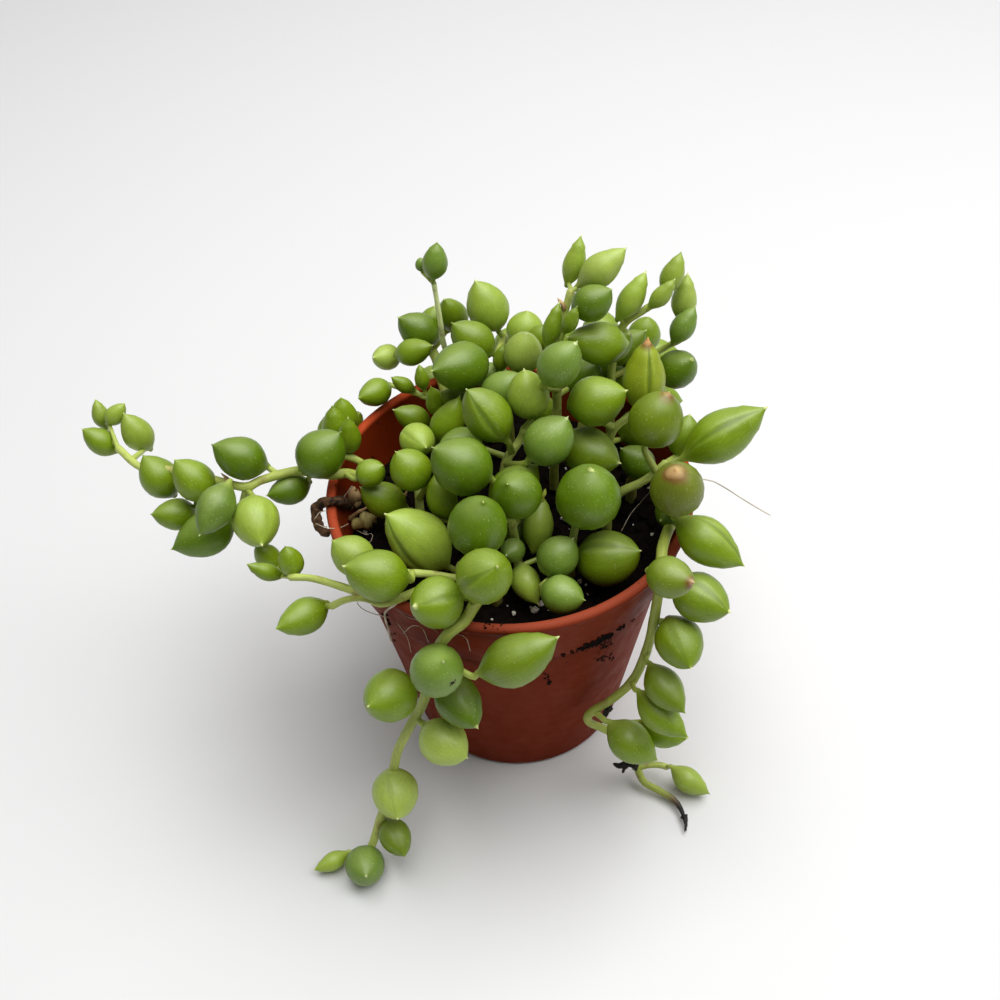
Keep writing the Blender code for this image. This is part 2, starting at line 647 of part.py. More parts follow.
def add_pot(material, parts, cutters):
    pot = turned("pot", pot_profile(), POT_SIDES, parts)
    for i in range(DRAIN_HOLES):
        turn = math.tau * (i + 0.43) / DRAIN_HOLES
        centre = (DRAIN_RING_RADIUS * math.cos(turn) * MM, DRAIN_RING_RADIUS * math.sin(turn) * MM, 0)
        add_cutter(f"drain_cutter_{i}", DRAIN_RADIUS, 6 * WALL, DRAIN_SIDES, centre, pot, cutters)
    finish(pot, material)
    return pot


def add_cutter(name, radius, depth, sides, centre, target, cutters):
    """A cylinder that cuts an upright hole in its target."""
    bm = bmesh.new()
    bmesh.ops.create_cone(bm, cap_ends=True, segments=sides, radius1=radius * MM, radius2=radius * MM, depth=depth * MM)
    mesh = bpy.data.meshes.new(name)
    bm.to_mesh(mesh)
    bm.free()
    cutter = add_object(name, mesh, cutters)
    cutter.location = centre
    cutter.hide_render = True
    cutter.display_type = "WIRE"
    cut = target.modifiers.new(name, "BOOLEAN")
    cut.operation = "DIFFERENCE"
    cut.object = cutter
    return cutter


def soil_height(x, y):
    """The soil's loose top: a few long waves and shorter ones across them, in mm."""
    wave = math.sin(0.31 * x + 0.7) * math.cos(0.27 * y - 0.4) + 0.6 * math.sin(0.62 * x - 0.55 * y)
    return SOIL_TOP + SOIL_BUMP * wave / 1.6


def add_soil(stems, material, parts, cutters):
    """The soil that fills the pot, with a plain upright hole for each stem."""
    foot = POT_HEIGHT - COLLAR_DEPTH
    edge = wall_radius(SOIL_TOP) - WALL / 2 - SOIL_GAP - 0.4
    profile = [(edge * ring / SOIL_RINGS, SOIL_TOP) for ring in range(SOIL_RINGS + 1)] + [
        (BODY_TOP_RADIUS - WALL - SOIL_GAP, foot - 1.2),
        (BASE_RADIUS - WALL - SOIL_GAP, WALL + BASE_ROUNDING + 1),
        (BASE_RADIUS - WALL - BASE_ROUNDING - SOIL_GAP, WALL + SOIL_GAP),
        (0, WALL + SOIL_GAP),
    ]
    soil = turned("soil", profile, SOIL_SIDES, parts)
    for vert in soil.data.vertices:
        if vert.co.z > (SOIL_TOP - 0.1) * MM:
            vert.co.z = soil_height(vert.co.x / MM, vert.co.y / MM) * MM
    for stem in stems:
        root = stem.routes[0][0]
        depth = 2 * (ROOT_DEPTH + HOLE_GAP)
        add_cutter(stem.name + "_hole", stem.thick / 2 + HOLE_GAP, depth, HOLE_SIDES,
                   (root.x * MM, root.y * MM, SOIL_TOP * MM), soil, cutters)
    finish(soil, material)
    return soil


def main():
    for old in list(bpy.data.objects):
        bpy.data.objects.remove(old)
    parts = bpy.data.collections.new("potted string of watermelons")
    cutters = bpy.data.collections.new("cutters")
    bpy.context.scene.collection.children.link(parts)
    bpy.context.scene.collection.children.link(cutters)
    terracotta = add_material("moulded polypropylene, terracotta red", 0.52, 0.11, 0.05, 0.45)
    peat = add_material("peat potting soil", 0.02, 0.013, 0.008, 0.95)
    green = add_material("waxy succulent leaf", 0.14, 0.25, 0.04, 0.4)
    stems = plant()
    settle(stems)
    add_pot(terracotta, parts, cutters)
    add_soil(stems, peat, parts, cutters)
    for stem in stems:
        add_stem(stem, green, parts)


if __name__ == "__main__":
    main()
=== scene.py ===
import bisect
import functools
import math
import random

import bmesh
import bpy
from mathutils import Matrix, Vector, noise


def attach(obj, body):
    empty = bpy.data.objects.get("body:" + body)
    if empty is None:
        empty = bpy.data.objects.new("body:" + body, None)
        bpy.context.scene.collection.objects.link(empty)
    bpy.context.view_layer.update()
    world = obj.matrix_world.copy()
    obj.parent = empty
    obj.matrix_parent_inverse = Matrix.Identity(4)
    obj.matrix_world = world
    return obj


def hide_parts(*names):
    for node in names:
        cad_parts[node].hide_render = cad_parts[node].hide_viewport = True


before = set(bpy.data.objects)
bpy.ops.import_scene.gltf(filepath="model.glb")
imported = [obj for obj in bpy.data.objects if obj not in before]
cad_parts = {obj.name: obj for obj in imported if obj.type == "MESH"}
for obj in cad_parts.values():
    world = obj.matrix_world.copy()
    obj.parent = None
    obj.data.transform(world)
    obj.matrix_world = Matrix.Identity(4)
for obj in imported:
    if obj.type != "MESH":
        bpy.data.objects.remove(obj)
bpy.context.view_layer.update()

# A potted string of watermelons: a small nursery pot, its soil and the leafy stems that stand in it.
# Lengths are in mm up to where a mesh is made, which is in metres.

MM = 0.001
BODY = "root"

# Pot, in mm: the same values as the solids
POT_HEIGHT = 50.0
RIM_RADIUS = 27.5
BASE_RADIUS = 17.8
COLLAR_DEPTH = 10.8
COLLAR_FOOT_RADIUS = 25.2
BODY_TOP_RADIUS = 24.1
WALL = 1.1
LIP_RADIUS = 0.8
BASE_ROUNDING = 1.2
DRAIN_HOLES = 6
DRAIN_RADIUS = 2.2
DRAIN_RING_RADIUS = 12.4
COLLAR_FOOT = POT_HEIGHT - COLLAR_DEPTH

# Soil, in mm
SOIL_TOP = 41.6
SOIL_GAP = 0.35
SOIL_BUMP = 0.7
ROOT_DEPTH = 6.0
ROOT_STAND = 4.2

# Plant, in mm: the same values as the solids
CLEAR = 0.4
LEAF_TIP_REACH = 0.56
LEAF_BASE_REACH = 0.48
LEAF_BELLY = 0.46
PETIOLE = 2.8
DEPTH_SHARE = 0.4
STALK_SHARE = 0.15
CURVE_POINTS = 12
HIDDEN_LEAF_SEED = 11
SETTLE_PASSES = 120
SETTLE_SLIDE = 1.0
SETTLE_SHARE = 0.5
SETTLE_RETURN = 0.01
LEAF_OVERLAP = 0.2
LEAF_CURL = 0.12
STALK_BEND = 0.35
STALK_INSIDE = 0.3
# A leaf's outline: body, point and neck run into each other with this power. The point starts at a share of the
# leaf, comes to nothing at another, and widens by so much of the leaf's length. The neck is gone at the last share.
OUTLINE_POWER = 2.4
POINT_START = 0.78
POINT_END = 1.045
POINT_WIDTH = 0.38
NECK_END = 0.45
# The groove along its window, and the lips on both sides of it: where on the turn, how wide and how high
GROOVE_WIDTH = 0.12
GROOVE_DEPTH = 0.06
GROOVE_LIP_TURN = 0.28
GROOVE_LIP_WIDTH = 0.14
GROOVE_LIP = 0.02
FRONT_FLATNESS = 0.02
LEAF_LUMPS = 0.035
LIVING_STEM = 0.8
SHOOT_THIN = 1.0
KNOT_REACH = 1.1
SURFACE_CLEAR = 0.3
WALL_CLEAR = 0.65

# How finely things are drawn
LEAF_SIDES = 24
LEAF_SHARES = (0.02, 0.05, 0.09, 0.14, 0.2, 0.28, 0.37, 0.46, 0.55, 0.63, 0.7, 0.77, 0.83, 0.88, 0.92, 0.95, 0.975,
               1.0, 1.02)
STALK_SHARES = (0.0, 0.15, 0.3, 0.45, 0.6, 0.75, 0.9)
STEM_SIDES = 14
STEM_STEP = 0.9
THREAD_STEP = 0.3
POT_STEPS = 144
SOIL_STEPS = 168
SOIL_RINGS = 60
FORM_SEED = 5

# The photograph's view: the eye, the point it looks at, its tilt and its focal length
EYE = Vector((0, -134.4, 190.2))
AIM = Vector((-1.5, 0, 46.5))
TILT = math.radians(-3)
FOCAL_PX = 1300
MIDDLE_PX = 500
SENSOR_MM = 36
FLOOR_REACH_M = 3

# Leaf colours: of the skin, and of the point at its tip
LEAF_COLOURS = {
    "green": ("#76900E", "#DDE49A"),
    "deep": ("#5C7A04", "#CFD886"),
    "young": ("#96AE3A", "#E4EAA2"),
    "blue": ("#6A862C", "#CCD898"),
    "ripe": ("#70860A", "#F0C488"),
    "flushed": ("#8C9C1C", "#DCA468"),
    "scorched": ("#6E7A16", "#F0C488"),
    "plum": ("#768C1A", "#E4BC98"),
    "pale": ("#A4BA4E", "#DDE4AC"),
}
# How far a brown tip reaches, as a share of its leaf
BROWN_TIPS = {"ripe": 0.075, "flushed": 0.05, "scorched": 0.1, "plum": 0.075}
PALE_TIP = (0.015, 0.035)
# How much a leaf's tone varies, and how clear its window is, in all and where the view doesn't show it well
LEAF_TONE = (0.86, 1.12)
WINDOW_STRENGTH = 0.66
PLAIN_WINDOW = (0.05, 0.25)
# Stem colours. The sprout colour is the pale of young growth, made paler still as painted light: it stands in for
# light on an upright stalk that the lamp above barely lights.
STEM_COLOURS = {"foot": "#726C34", "green": "#9EAA48", "end": "#BCCA6A", "lit_sprout": "#DCE8A4", "brown": "#5A4438",
                "black": "#141010"}

# Dry, matt materials: dark and pale colour, patches in a metre, roughness
GRITS = {
    # Shrunken and charred, with a dull sheen
    "stem end, dead and black": ("#0D0B0B", "#2C2624", 900, 0.75),
    # Thin and brown, paler along its folds
    "bract, dry and papery": ("#8A6A42", "#C8A878", 900, 0.8),
    # Ochre and wrinkled, still a little waxy
    "leaf, shed and shrivelled": ("#8A7A3C", "#C4B878", 500, 0.6),
    # Dark brown crumbs that barely hold together
    "bark, dark and crumbling": ("#1E120A", "#6A4A30", 1100, 0.9),
    # Fresh and soft, the brightest thing on the plant
    "bract, living and yellow-green": ("#A8B436", "#D6DC6C", 400, 0.5),
    # Chalky off-white, like foam
    "perlite, expanded volcanic glass": ("#BDB6A6", "#F1EDE2", 900, 0.85),
    # Pale grey-brown threads
    "root, fine and dry": ("#A4947C", "#DCD0BA", 500, 0.8),
    # A dark crust
    "scab on a leaf, nearly black": ("#14100A", "#38301A", 900, 0.8),
    # Tan and rough
    "corky scar on a leaf": ("#8A7444", "#B8A872", 900, 0.8),
}

# Clods stuck to the pot's side, each lot along a line: its end pixels, spread in pixels, how many, size in mm
DIRT_ON_POT = (
    ((560, 656), (584, 648), 0.8, 12, 0.6), ((583, 648), (611, 635), 1.6, 46, 0.9),
    ((598, 646), (610, 642), 1.8, 30, 0.9), ((595, 659), (610, 655), 2.2, 26, 0.8),
    ((546, 673), (549, 684), 1.2, 12, 0.9), ((619, 630), (624, 625), 1.0, 7, 0.7),
    ((384, 612), (393, 637), 1.2, 16, 0.9), ((634, 619), (633, 624), 0.8, 4, 0.6),
)
# Perlite that shows on the soil: its pixel and its size in mm
PERLITE_SEEN = (
    (580, 583, 0.9), (586, 588, 0.7), (652, 535, 0.6), (557, 480, 0.6), (562, 517, 0.7), (535, 611, 1.3),
    (540, 605, 1.0), (548, 611, 0.8), (531, 607, 0.6), (492, 621, 0.5),
)
# Crumbs and perlite strewn over the soil: how many, least size and what is added to it in mm, how rare the big
# ones are, and how much of one stands clear
STREWN_CRUMBS = (900, 0.35, 1.5, 3, 0.12)
STREWN_PERLITE = (70, 0.3, 0.9, 2, 0.2)
RIM_CRUMBS = 34
GRAINS_IN_CLOD = 9


def colour(code):
    """An sRGB hex code as the linear red, green, blue and alpha that a shader takes."""
    parts = [int(code[i:i + 2], 16) / 255 for i in (1, 3, 5)]
    return (*(part / 12.92 if part <= 0.04045 else ((part + 0.055) / 1.055) ** 2.4 for part in parts), 1)


def view_axes():
    """The view's right, up and forward directions."""
    forward = (AIM - EYE).normalized()
    level = forward.cross(Vector((0, 0, 1))).normalized()
    right = level * math.cos(TILT) + level.cross(forward) * math.sin(TILT)
    return right, right.cross(forward), forward


RIGHT, UP, FORWARD = view_axes()


def sight(x, y):
    """The line from the eye through pixel x, y, one unit deep."""
    return FORWARD + RIGHT * ((x - MIDDLE_PX) / FOCAL_PX) + UP * ((MIDDLE_PX - y) / FOCAL_PX)


def seen(x, y, height):
    """The point at this height above the table, in mm, that shows at pixel x, y."""
    return EYE + sight(x, y) * ((height - EYE.z) / sight(x, y).z)


def at(x, y, z):
    """A point given straight in mm."""
    return Vector((x, y, z))


def rooted(x, y):
    """The upright foot of a stem, from inside the soil to just above it."""
    return [at(x, y, SOIL_TOP - ROOT_DEPTH), at(x, y, SOIL_TOP + 1.2), at(x, y, SOIL_TOP + ROOT_STAND)]


class Leaf:
    """A plump pointed leaf: its middle, the direction of its tip, its length and width in mm, and its looks."""

    def __init__(self, middle, axis, length, width, look="green", window=None):
        self.middle = middle
        self.axis = axis.normalized()
        self.length = length
        self.width = width
        self.look = look
        self.window = window
        self.given = middle.copy()
        self.sight = (EYE - middle).normalized()

    def balls(self):
        """Balls that fill the leaf, each a centre and a radius."""
        shares = ((-0.34, 0.62), (-0.17, 0.9), (0, 1), (0.17, 0.9), (0.36, 0.55))
        return [(self.middle + self.axis * along * self.length, self.width / 2 * share) for along, share in shares]

    def base(self):
        return self.middle - self.axis * LEAF_BASE_REACH * self.length

    def aside(self, x, y):
        """How far the leaf's middle is from the line through pixel x, y."""
        line = sight(x, y).normalized()
        toward = self.middle - EYE
        return (toward - line * toward.dot(line)).length

    def skin_at(self, x, y):
        """The point of the leaf's belly that shows at pixel x, y, or is nearest to it."""
        line = sight(x, y).normalized()
        back = math.sqrt(max(0, (self.width / 2) ** 2 - self.aside(x, y) ** 2))
        return EYE + line * ((self.middle - EYE).dot(line) - back)

    def window_side(self):
        """The side of the leaf's translucent window: the one that the given pixel shows, or else the upper back."""
        if self.window:
            side = self.skin_at(*self.window) - self.middle
        else:
            side = Vector((0.5 * math.sin(self.given.x), 0.8, 0.55))
        side = side - self.axis * side.dot(self.axis)
        if side.length < 0.1:
            side = self.axis.orthogonal()
        return side.normalized()


def leaf(x, y, tip_x, tip_y, height, length, width, look="green", window=None):
    """A leaf read from the view: pixels of its middle and its tip, its middle's height, its size and looks."""
    middle = seen(x, y, height)
    reach = LEAF_TIP_REACH * length
    across = EYE + sight(tip_x, tip_y) * (middle - EYE).dot(FORWARD) - middle
    across *= min(1, 0.995 * reach / across.length)
    toward = (EYE - middle).normalized() * math.sqrt(reach**2 - across.length_squared)
    return Leaf(middle, across + toward, length, width, look, window)


class Stem:
    """A leafy stem: its routes, the first one rooted, its leaves, its thicknesses, and how much of it is dead."""

    def __init__(self, name, routes, leaves, thick=2.0, thin=1.5, dead=0):
        self.name = name
        self.routes = routes
        self.leaves = [one if isinstance(one, Leaf) else leaf(*one) for one in leaves]
        self.thick = thick
        self.thin = thin
        self.dead = dead


def along(points, step):
    """Points one step apart on a smooth curve through these, each in mm or as a pixel of the view and a height."""
    points = [point if isinstance(point, Vector) else seen(*point) for point in points]
    ends = [points[0] * 2 - points[1], *points, points[-1] * 2 - points[-2]]
    fine = []
    for before, start, end, after in zip(ends, ends[1:], ends[2:], ends[3:]):
        for i in range(CURVE_POINTS):
            t = i / CURVE_POINTS
            fine.append(
                start
                + (end - before) * (t / 2)
                + (before * 2 - start * 5 + end * 4 - after) * (t * t / 2)
                + (start * 3 - before - end * 3 + after) * (t**3 / 2)
            )
    fine.append(points[-1])
    travelled = [0.0]
    for start, end in zip(fine, fine[1:]):
        travelled.append(travelled[-1] + (end - start).length)
    count = max(2, round(travelled[-1] / step))
    return [fine[bisect.bisect_left(travelled, travelled[-1] * i / count)] for i in range(count)] + [points[-1]]


def leaves_behind(route, count, start, draw):
    """Leaves on the side that the view doesn't reach, set by turns to the left and right of a stem."""
    points = along(route, 1.0)
    points = points[int(start * len(points)):]
    leaves = []
    for i in range(count):
        place = round((i + 0.5) / count * (len(points) - 2))
        here, ahead = points[place], points[place + 1] - points[place]
        outward = Vector((here.x, here.y, 0)).normalized()
        side = ahead.cross(outward).normalized() * (1 if i % 2 else -1)
        length = draw.uniform(7.2, 9.4)
        axis = side * draw.uniform(0.7, 1.0) + outward * draw.uniform(0.35, 0.8) + ahead.normalized() * 0.5
        axis.normalize()
        leaves.append(Leaf(here + axis * (length / 2 + 1.3), axis, length, length * draw.uniform(0.66, 0.8)))
    return leaves


def plant():
    """Every leafy stem, with its leaves as leaf takes them. A route's first points are its foot in the soil."""
    draw = random.Random(HIDDEN_LEAF_SEED)
    back_rim = [*rooted(-8.5, 17.5), at(-10, 22, 50.5), at(-11, 26, 53), at(-12.5, 30, 53), at(-12.5, 33.5, 49),
                at(-9, 35, 41), at(-6.5, 34, 32), at(-5, 32.5, 24)]
    back_middle = [*rooted(0.5, 14.5), at(0, 15.5, 53), at(-0.5, 18, 57), at(-0.5, 22, 57.5), at(1, 27, 55.5),
                   at(4, 31, 51), at(6, 33.5, 44), at(6, 33, 36)]
    back_right = [*rooted(12, 15.5), at(14, 19.5, 51), at(16, 24.5, 52.8), at(18.5, 27.5, 51), at(21, 28, 45),
                  at(21.5, 26.5, 36), at(20, 25.5, 27), at(20.5, 27, 18)]
    return [
        Stem("front_trailing_stem", [
            [*rooted(-2.5, -15.8), (484, 590, 51), (465, 620, 51.9), (450, 632, 51), (438, 648, 47.5),
             (431, 670, 41), (424, 700, 34), (418, 712, 31), (408, 730, 28), (398, 750, 23.5), (394, 767, 20),
             (388, 795, 14), (380, 820, 9), (372, 845, 5), (364, 856, 2.6)],
        ], [
            (484, 576, 500, 565, 57.5, 9, 7.5, "green", (481, 575)),
            (438, 602, 412, 607, 54.5, 8.3, 7.3, "green", (436, 600)), (437, 670, 443, 663, 47, 9, 7.5, "blue"),
            (391, 695, 369, 708, 38, 9.3, 7.7), (515, 660, 561, 640, 48.5, 13.6, 7.3),
            # The leaf at 443, 741 takes the pale look partly for its young colour and partly as painted light,
            # standing in for light on its top, which the leaf above shades.
            (458, 700, 477, 729, 37, 10, 6.6, "deep"), (443, 741, 466, 760, 30, 8.8, 7, "pale"),
            (395, 792, 398, 818, 17, 9, 7.2, "pale"), (395, 836, 405, 856, 8, 7.3, 5),
            (365, 865, 366, 877, 3.6, 7.6, 6.3, "blue"), (333, 861, 315, 871, 2.2, 6, 3, "young"),
        ], 2.2, 1.6),
        Stem("right_trailing_stem", [
            [*rooted(18.8, 3.5), at(20.6, 0.6, 49.6), at(22.4, -2.4, 50.9), (672, 518, 50.8), (668, 530, 52),
             (662, 550, 52.8), (661, 577, 50.8), (657, 602, 46), (652, 630, 39.5), (645, 655, 33), (633, 680, 27.5),
             (615, 697, 24), (598, 708, 21), (588, 715, 18.8), (589, 722, 16.8), (600, 727, 15), (612, 733, 12.5),
             (624, 745, 9.2), (632, 758, 6), (637, 768, 3.6), (644, 782, 2), (658, 790, 1.5), (675, 801, 1.3),
             (683, 814, 1.2), (686, 828, 1.1)],
            [(637, 768, 3.6), (648, 765, 3.5), (660, 765, 3.4), (667, 767, 3.3)],
        ], [
            (677, 489, 677, 471, 60, 9.5, 7.6, "scorched"), (638, 462, 619, 449, 52, 7.5, 5, "deep"),
            (672, 511, 660, 523, 53, 6, 5, "deep"), (706, 541, 743, 568, 53, 11.5, 6.7, "green", (712, 524)),
            (669, 577, 692, 584, 57, 8, 5.8, "plum"), (699, 597, 729, 613, 47, 9.6, 7.2, "green", (704, 588)),
            (679, 641, 691, 668, 41, 9.4, 7), (664, 687, 682, 713, 33, 9.2, 5.5), (659, 713, 685, 738, 28, 10, 5.4),
            (661, 731, 686, 740, 19, 8.6, 5.2), (630, 741, 657, 763, 18, 9.4, 6.4),
            (688, 780, 711, 797, 3.1, 7.6, 4.2, "young"),
        ], 2.2, 1.4, 0.035),
        Stem("left_trailing_stem", [
            [*rooted(-17.5, 1.8), (355, 475, 51), (330, 475, 52.6), (297, 471, 53), (262, 480, 53), (245, 487, 53),
             (215, 480, 52.5), (185, 473, 52.5), (160, 468, 53), (140, 467, 53), (118, 448, 53)],
        ], [
            (370, 473, 384, 466, 52, 5.2, 4.3), (320, 454, 343, 433, 57, 9.3, 7.3, "deep"),
            (291, 489, 268, 497, 50, 7.5, 4.8, "deep"), (242, 458, 213, 447, 56, 9.2, 6.5, "deep"),
            (256, 520, 261, 548, 51, 9.5, 7.1, "young"), (207, 533, 174, 551, 46, 10.5, 7, "deep"),
            (216, 507, 200, 536, 53, 9, 5.6, "blue"), (195, 481, 175, 462, 53, 8.5, 6),
            (177, 514, 153, 516, 48, 7.5, 5), (160, 478, 143, 457, 51, 8.2, 5.9),
            (138, 434, 124, 416, 53, 7.7, 4.8, "young"), (115, 415, 126, 403, 55, 5.2, 3, "young"),
            (101, 416, 95, 400, 54, 5.3, 2.8, "young"), (102, 442, 83, 431, 52, 6.8, 4.2),
        ], 2.0, 1.3),
        Stem("left_low_stem", [
            [*rooted(-11.5, -15.5), (420, 590, 50), (395, 600, 51.6), (378, 603, 51), (362, 594, 50.5),
             (330, 583, 50), (310, 578, 49), (290, 577, 48.5)],
            [(378, 603, 51), (362, 598, 50.5), (345, 600, 48.5), (332, 606, 46.5)],
        ], [
            (291, 562, 285, 547, 49.5, 6, 3.8), (268, 557, 256, 545, 47, 6.5, 3.8),
            (267, 572, 247, 566, 47.5, 6.3, 2.6), (305, 616, 278, 630, 44.5, 9.3, 5.4),
        ], 2.0, 1.2),
        Stem("left_front_stem", [
            [*rooted(-7.5, -12), at(-7.6, -15, 48.5), (460, 578, 50), (430, 574, 52.2), (412, 573, 53)],
        ], [
            (420, 541, 386, 511, 51, 13.8, 8.4, "young", (400, 539)), (379, 575, 343, 569, 56, 10, 7.2),
            (354, 556, 331, 542, 54, 7.5, 5.8, "young"),
        ], 1.9, 1.2),
        Stem("left_rim_stem", [
            [*rooted(-19.8, 4.2), at(-20.6, 4.4, 49.3), at(-23.3, 4.8, 52), at(-27, 5.6, 52.6), at(-28.4, 8, 52.2),
             at(-27.8, 10.8, 52)],
        ], [
            (335, 428, 333, 407, 54, 7.8, 4.2), (344, 417, 341, 399, 52, 7.4, 4.4),
            (349, 438, 347, 419, 53, 7.6, 3.8), (354, 421, 360, 413, 50, 5, 3), (328, 430, 330, 413, 50, 6, 3.4),
        ], 1.5, 1.2),
        Stem("crown_left_stem", [
            [*rooted(-13.5, -4), at(-13.5, -2, 49), at(-14, 3, 49.5), at(-14.5, 8, 49)],
        ], [
            (442, 499, 434, 473, 53.3, 8.2, 4.6), (385, 500, 360, 489, 48.5, 8.8, 5.6),
            (411, 470, 396, 453, 55, 7.5, 6.2), (417, 440, 428, 449, 54, 6.8, 5.3, "young", (409, 436)),
            (414, 418, 393, 411, 53, 7, 4.2),
        ], 1.8, 1.3),
        Stem("crown_front_stem", [
            [*rooted(0.8, -10.5), at(0.3, -11, 52), at(0, -11.5, 55.5)],
        ], [
            (478, 526, 482, 504, 59, 10.5, 8.3, "deep"), (517, 494, 506, 486, 61, 8.5, 7.1, "deep"),
            (513, 550, 506, 557, 50, 4.5, 3.6, "blue"), (520, 528, 515, 545, 50, 7, 5, "deep"),
        ], 1.9, 1.3),
        Stem("crown_front_right_stem", [
            [*rooted(8.5, -11.5), at(8.8, -11.5, 50), at(9.5, -10.5, 54)],
        ], [
            (526, 582, 537, 606, 47, 7, 4.3, "young"), (561, 594, 584, 602, 47, 7, 5.6, "blue"),
            (557, 557, 575, 539, 50.5, 7.5, 6, "blue"), (606, 558, 642, 552, 50, 11, 8.2, "green", (606, 545)),
            (588, 497, 592, 470, 59, 11, 9.3, "deep"), (538, 526, 543, 492, 50, 9, 4.6, "young"),
        ], 1.9, 1.3),
        Stem("crown_middle_stem", [
            [*rooted(-1.5, -3), at(-1.2, -2, 50), (506, 462, 55), (520, 440, 57.5), (525, 428, 60)],
        ], [
            (463, 466, 431, 450, 63, 10.5, 8.3, "deep", (462, 436)),
            (488, 416, 466, 388, 65, 10.3, 6.9, "green", (482, 414)), (462, 447, 440, 446, 57, 8, 6, "deep"),
            (513, 489, 542, 463, 57, 9.4, 6.6), (548, 441, 569, 419, 63, 9, 7, "blue"),
            (528, 396, 524, 371, 65, 8.7, 6.2, "young"),
        ], 2.0, 1.4),
        Stem("crown_back_left_stem", [
            [*rooted(-8, 8.5), at(-8.3, 9.5, 49.5), at(-8.5, 12, 52.5), at(-10, 15, 53.5), at(-13, 17, 53)],
            [at(-8.5, 12, 52.5), at(-6.5, 13.5, 56.5), at(-4.5, 15, 60)],
        ], [
            (447, 424, 461, 398, 57, 10, 5.2), (404, 385, 391, 378, 55, 5, 2.5),
            (422, 379, 419, 365, 56.5, 4.8, 2.4), (437, 404, 430, 388, 55, 7, 3.4),
            (455, 400, 441, 393, 57, 6, 3.6), (462, 366, 432, 374, 63, 11.2, 7.5, "deep"),
            (376, 392, 359, 400, 53, 7.2, 4.5),
        ], 1.8, 1.2),
        Stem("back_rim_stem", [back_rim], [
            (453, 316, 445, 301, 57, 8.4, 5), (420, 331, 398, 319, 59, 8.5, 6, "deep"),
            (433, 326, 434, 307, 54, 7.4, 5.4), (387, 357, 373, 359, 54, 6, 4.3, "pale"),
            (412, 352, 434, 347, 56, 8, 4.4), *leaves_behind(back_rim, 6, 0.66, draw),
        ], 2.0, 1.4),
        Stem("budding_stalk", [
            [*rooted(-6, 20.3), at(-7.5, 20.7, 53), (444, 345, 60), (440, 320, 65), (434, 284, 71)],
        ], [
            (435, 263, 437, 244, 74.5, 6.5, 3.9, "blue"), (421, 265, 420, 258, 73, 2.4, 1.8, "blue"),
        ], 1.6, 0.9),
        Stem("crown_back_stem", [back_middle], [
            (501, 391, 521, 375, 61, 8.2, 5.8, "blue"), (494, 380, 482, 366, 55, 7.5, 5.2, "blue"),
            (501, 360, 503, 345, 60, 5, 2.6), (523, 353, 526, 335, 63, 8, 6, "pale"),
            (525, 330, 528, 312, 60, 6.5, 6, "young"), (540, 338, 545, 326, 60, 5, 4),
            (474, 341, 451, 325, 61, 9, 6.2), (488, 308, 476, 282, 63, 9.8, 6.8, "young"),
            *leaves_behind(back_middle, 5, 0.64, draw),
        ], 2.0, 1.4),
        Stem("tall_middle_stem", [
            [*rooted(7, 6), at(7.2, 5.8, 52), (557, 412, 57.5), (557, 392, 61.5), (557, 365, 66), (559, 340, 70),
             (565, 312, 74), (571, 291, 77)],
        ], [
            (559, 365, 576, 344, 71, 8.5, 6.1, "blue"), (574, 264, 582, 238, 80, 7.7, 3.2, "young"),
            (600, 270, 626, 250, 80, 9, 4.8, "pale"), (591, 303, 612, 291, 78, 7, 5.2, "deep"),
            (552, 328, 559, 303, 73, 7, 2.7), (570, 322, 577, 308, 75, 4.8, 2.3),
            (583, 378, 598, 366, 59, 8, 5.6, "deep"), (541, 410, 532, 399, 53, 7.5, 5),
        ], 2.0, 1.3),
        Stem("tall_right_stem", [
            [*rooted(16, 11), at(16, 11, 55), at(16, 11.5, 62), at(16.5, 11.5, 67), (625, 323, 70.5),
             (640, 313, 72), (652, 305, 73), (664, 302, 73.5)],
            [at(16, 11.5, 60), at(20, 13, 61), at(24, 13.6, 63.5), (681, 338, 66.5), (684, 324, 69.3)],
        ], [
            (600, 343, 565, 340, 69, 10.4, 6.3), (611, 343, 630, 335, 67, 8, 5.8), (625, 348, 647, 332, 65, 8, 5),
            (644, 335, 648, 318, 64, 6.5, 5.2), (684, 301, 687, 275, 73, 8, 3.8, "pale"),
            (683, 327, 695, 308, 70, 6.5, 3.6, "blue"), (631, 299, 647, 273, 74.5, 8.3, 3.7, "young"),
            (661, 296, 675, 281, 75.5, 5.8, 2.6, "young"), (672, 276, 682, 254, 78, 6.8, 3.4, "young"),
            (613, 370, 600, 360, 57, 9, 6.6, "deep"), (633, 380, 648, 376, 55.5, 7.5, 5.4),
        ], 1.9, 1.2),
        Stem("crown_right_stem", [
            [*rooted(14.5, 2.5), at(14.7, 3, 52), at(15.5, 3, 57), at(18, 3.8, 59), at(21.5, 5.5, 59.5)],
        ], [
            (588, 451, 620, 466, 57.5, 10.8, 7.2), (595, 401, 627, 393, 66, 9.6, 7.2),
            (636, 428, 648, 414, 54, 8, 5.6), (644, 380, 647, 338, 67, 12, 6.2, "flushed", (650, 382)),
            (677, 369, 692, 361, 64, 7.6, 5.8, "deep"),
        ], 1.9, 1.3),
        Stem("right_rim_stem", [
            [*rooted(14.5, -3.5), at(15, -3.3, 48), (621, 492, 51), (640, 483, 53), (655, 473, 55),
             (666, 463, 56.5)],
        ], [
            (721, 436, 766, 409, 61, 14, 7.4, "green", (722, 427)), (656, 420, 668, 395, 67, 9.6, 7.7, "ripe"),
            (684, 438, 690, 415, 58, 7.5, 5),
        ], 2.0, 1.4),
        Stem("back_right_stem", [back_right], leaves_behind(back_right, 9, 0.34, draw), 2.0, 1.4),
    ]


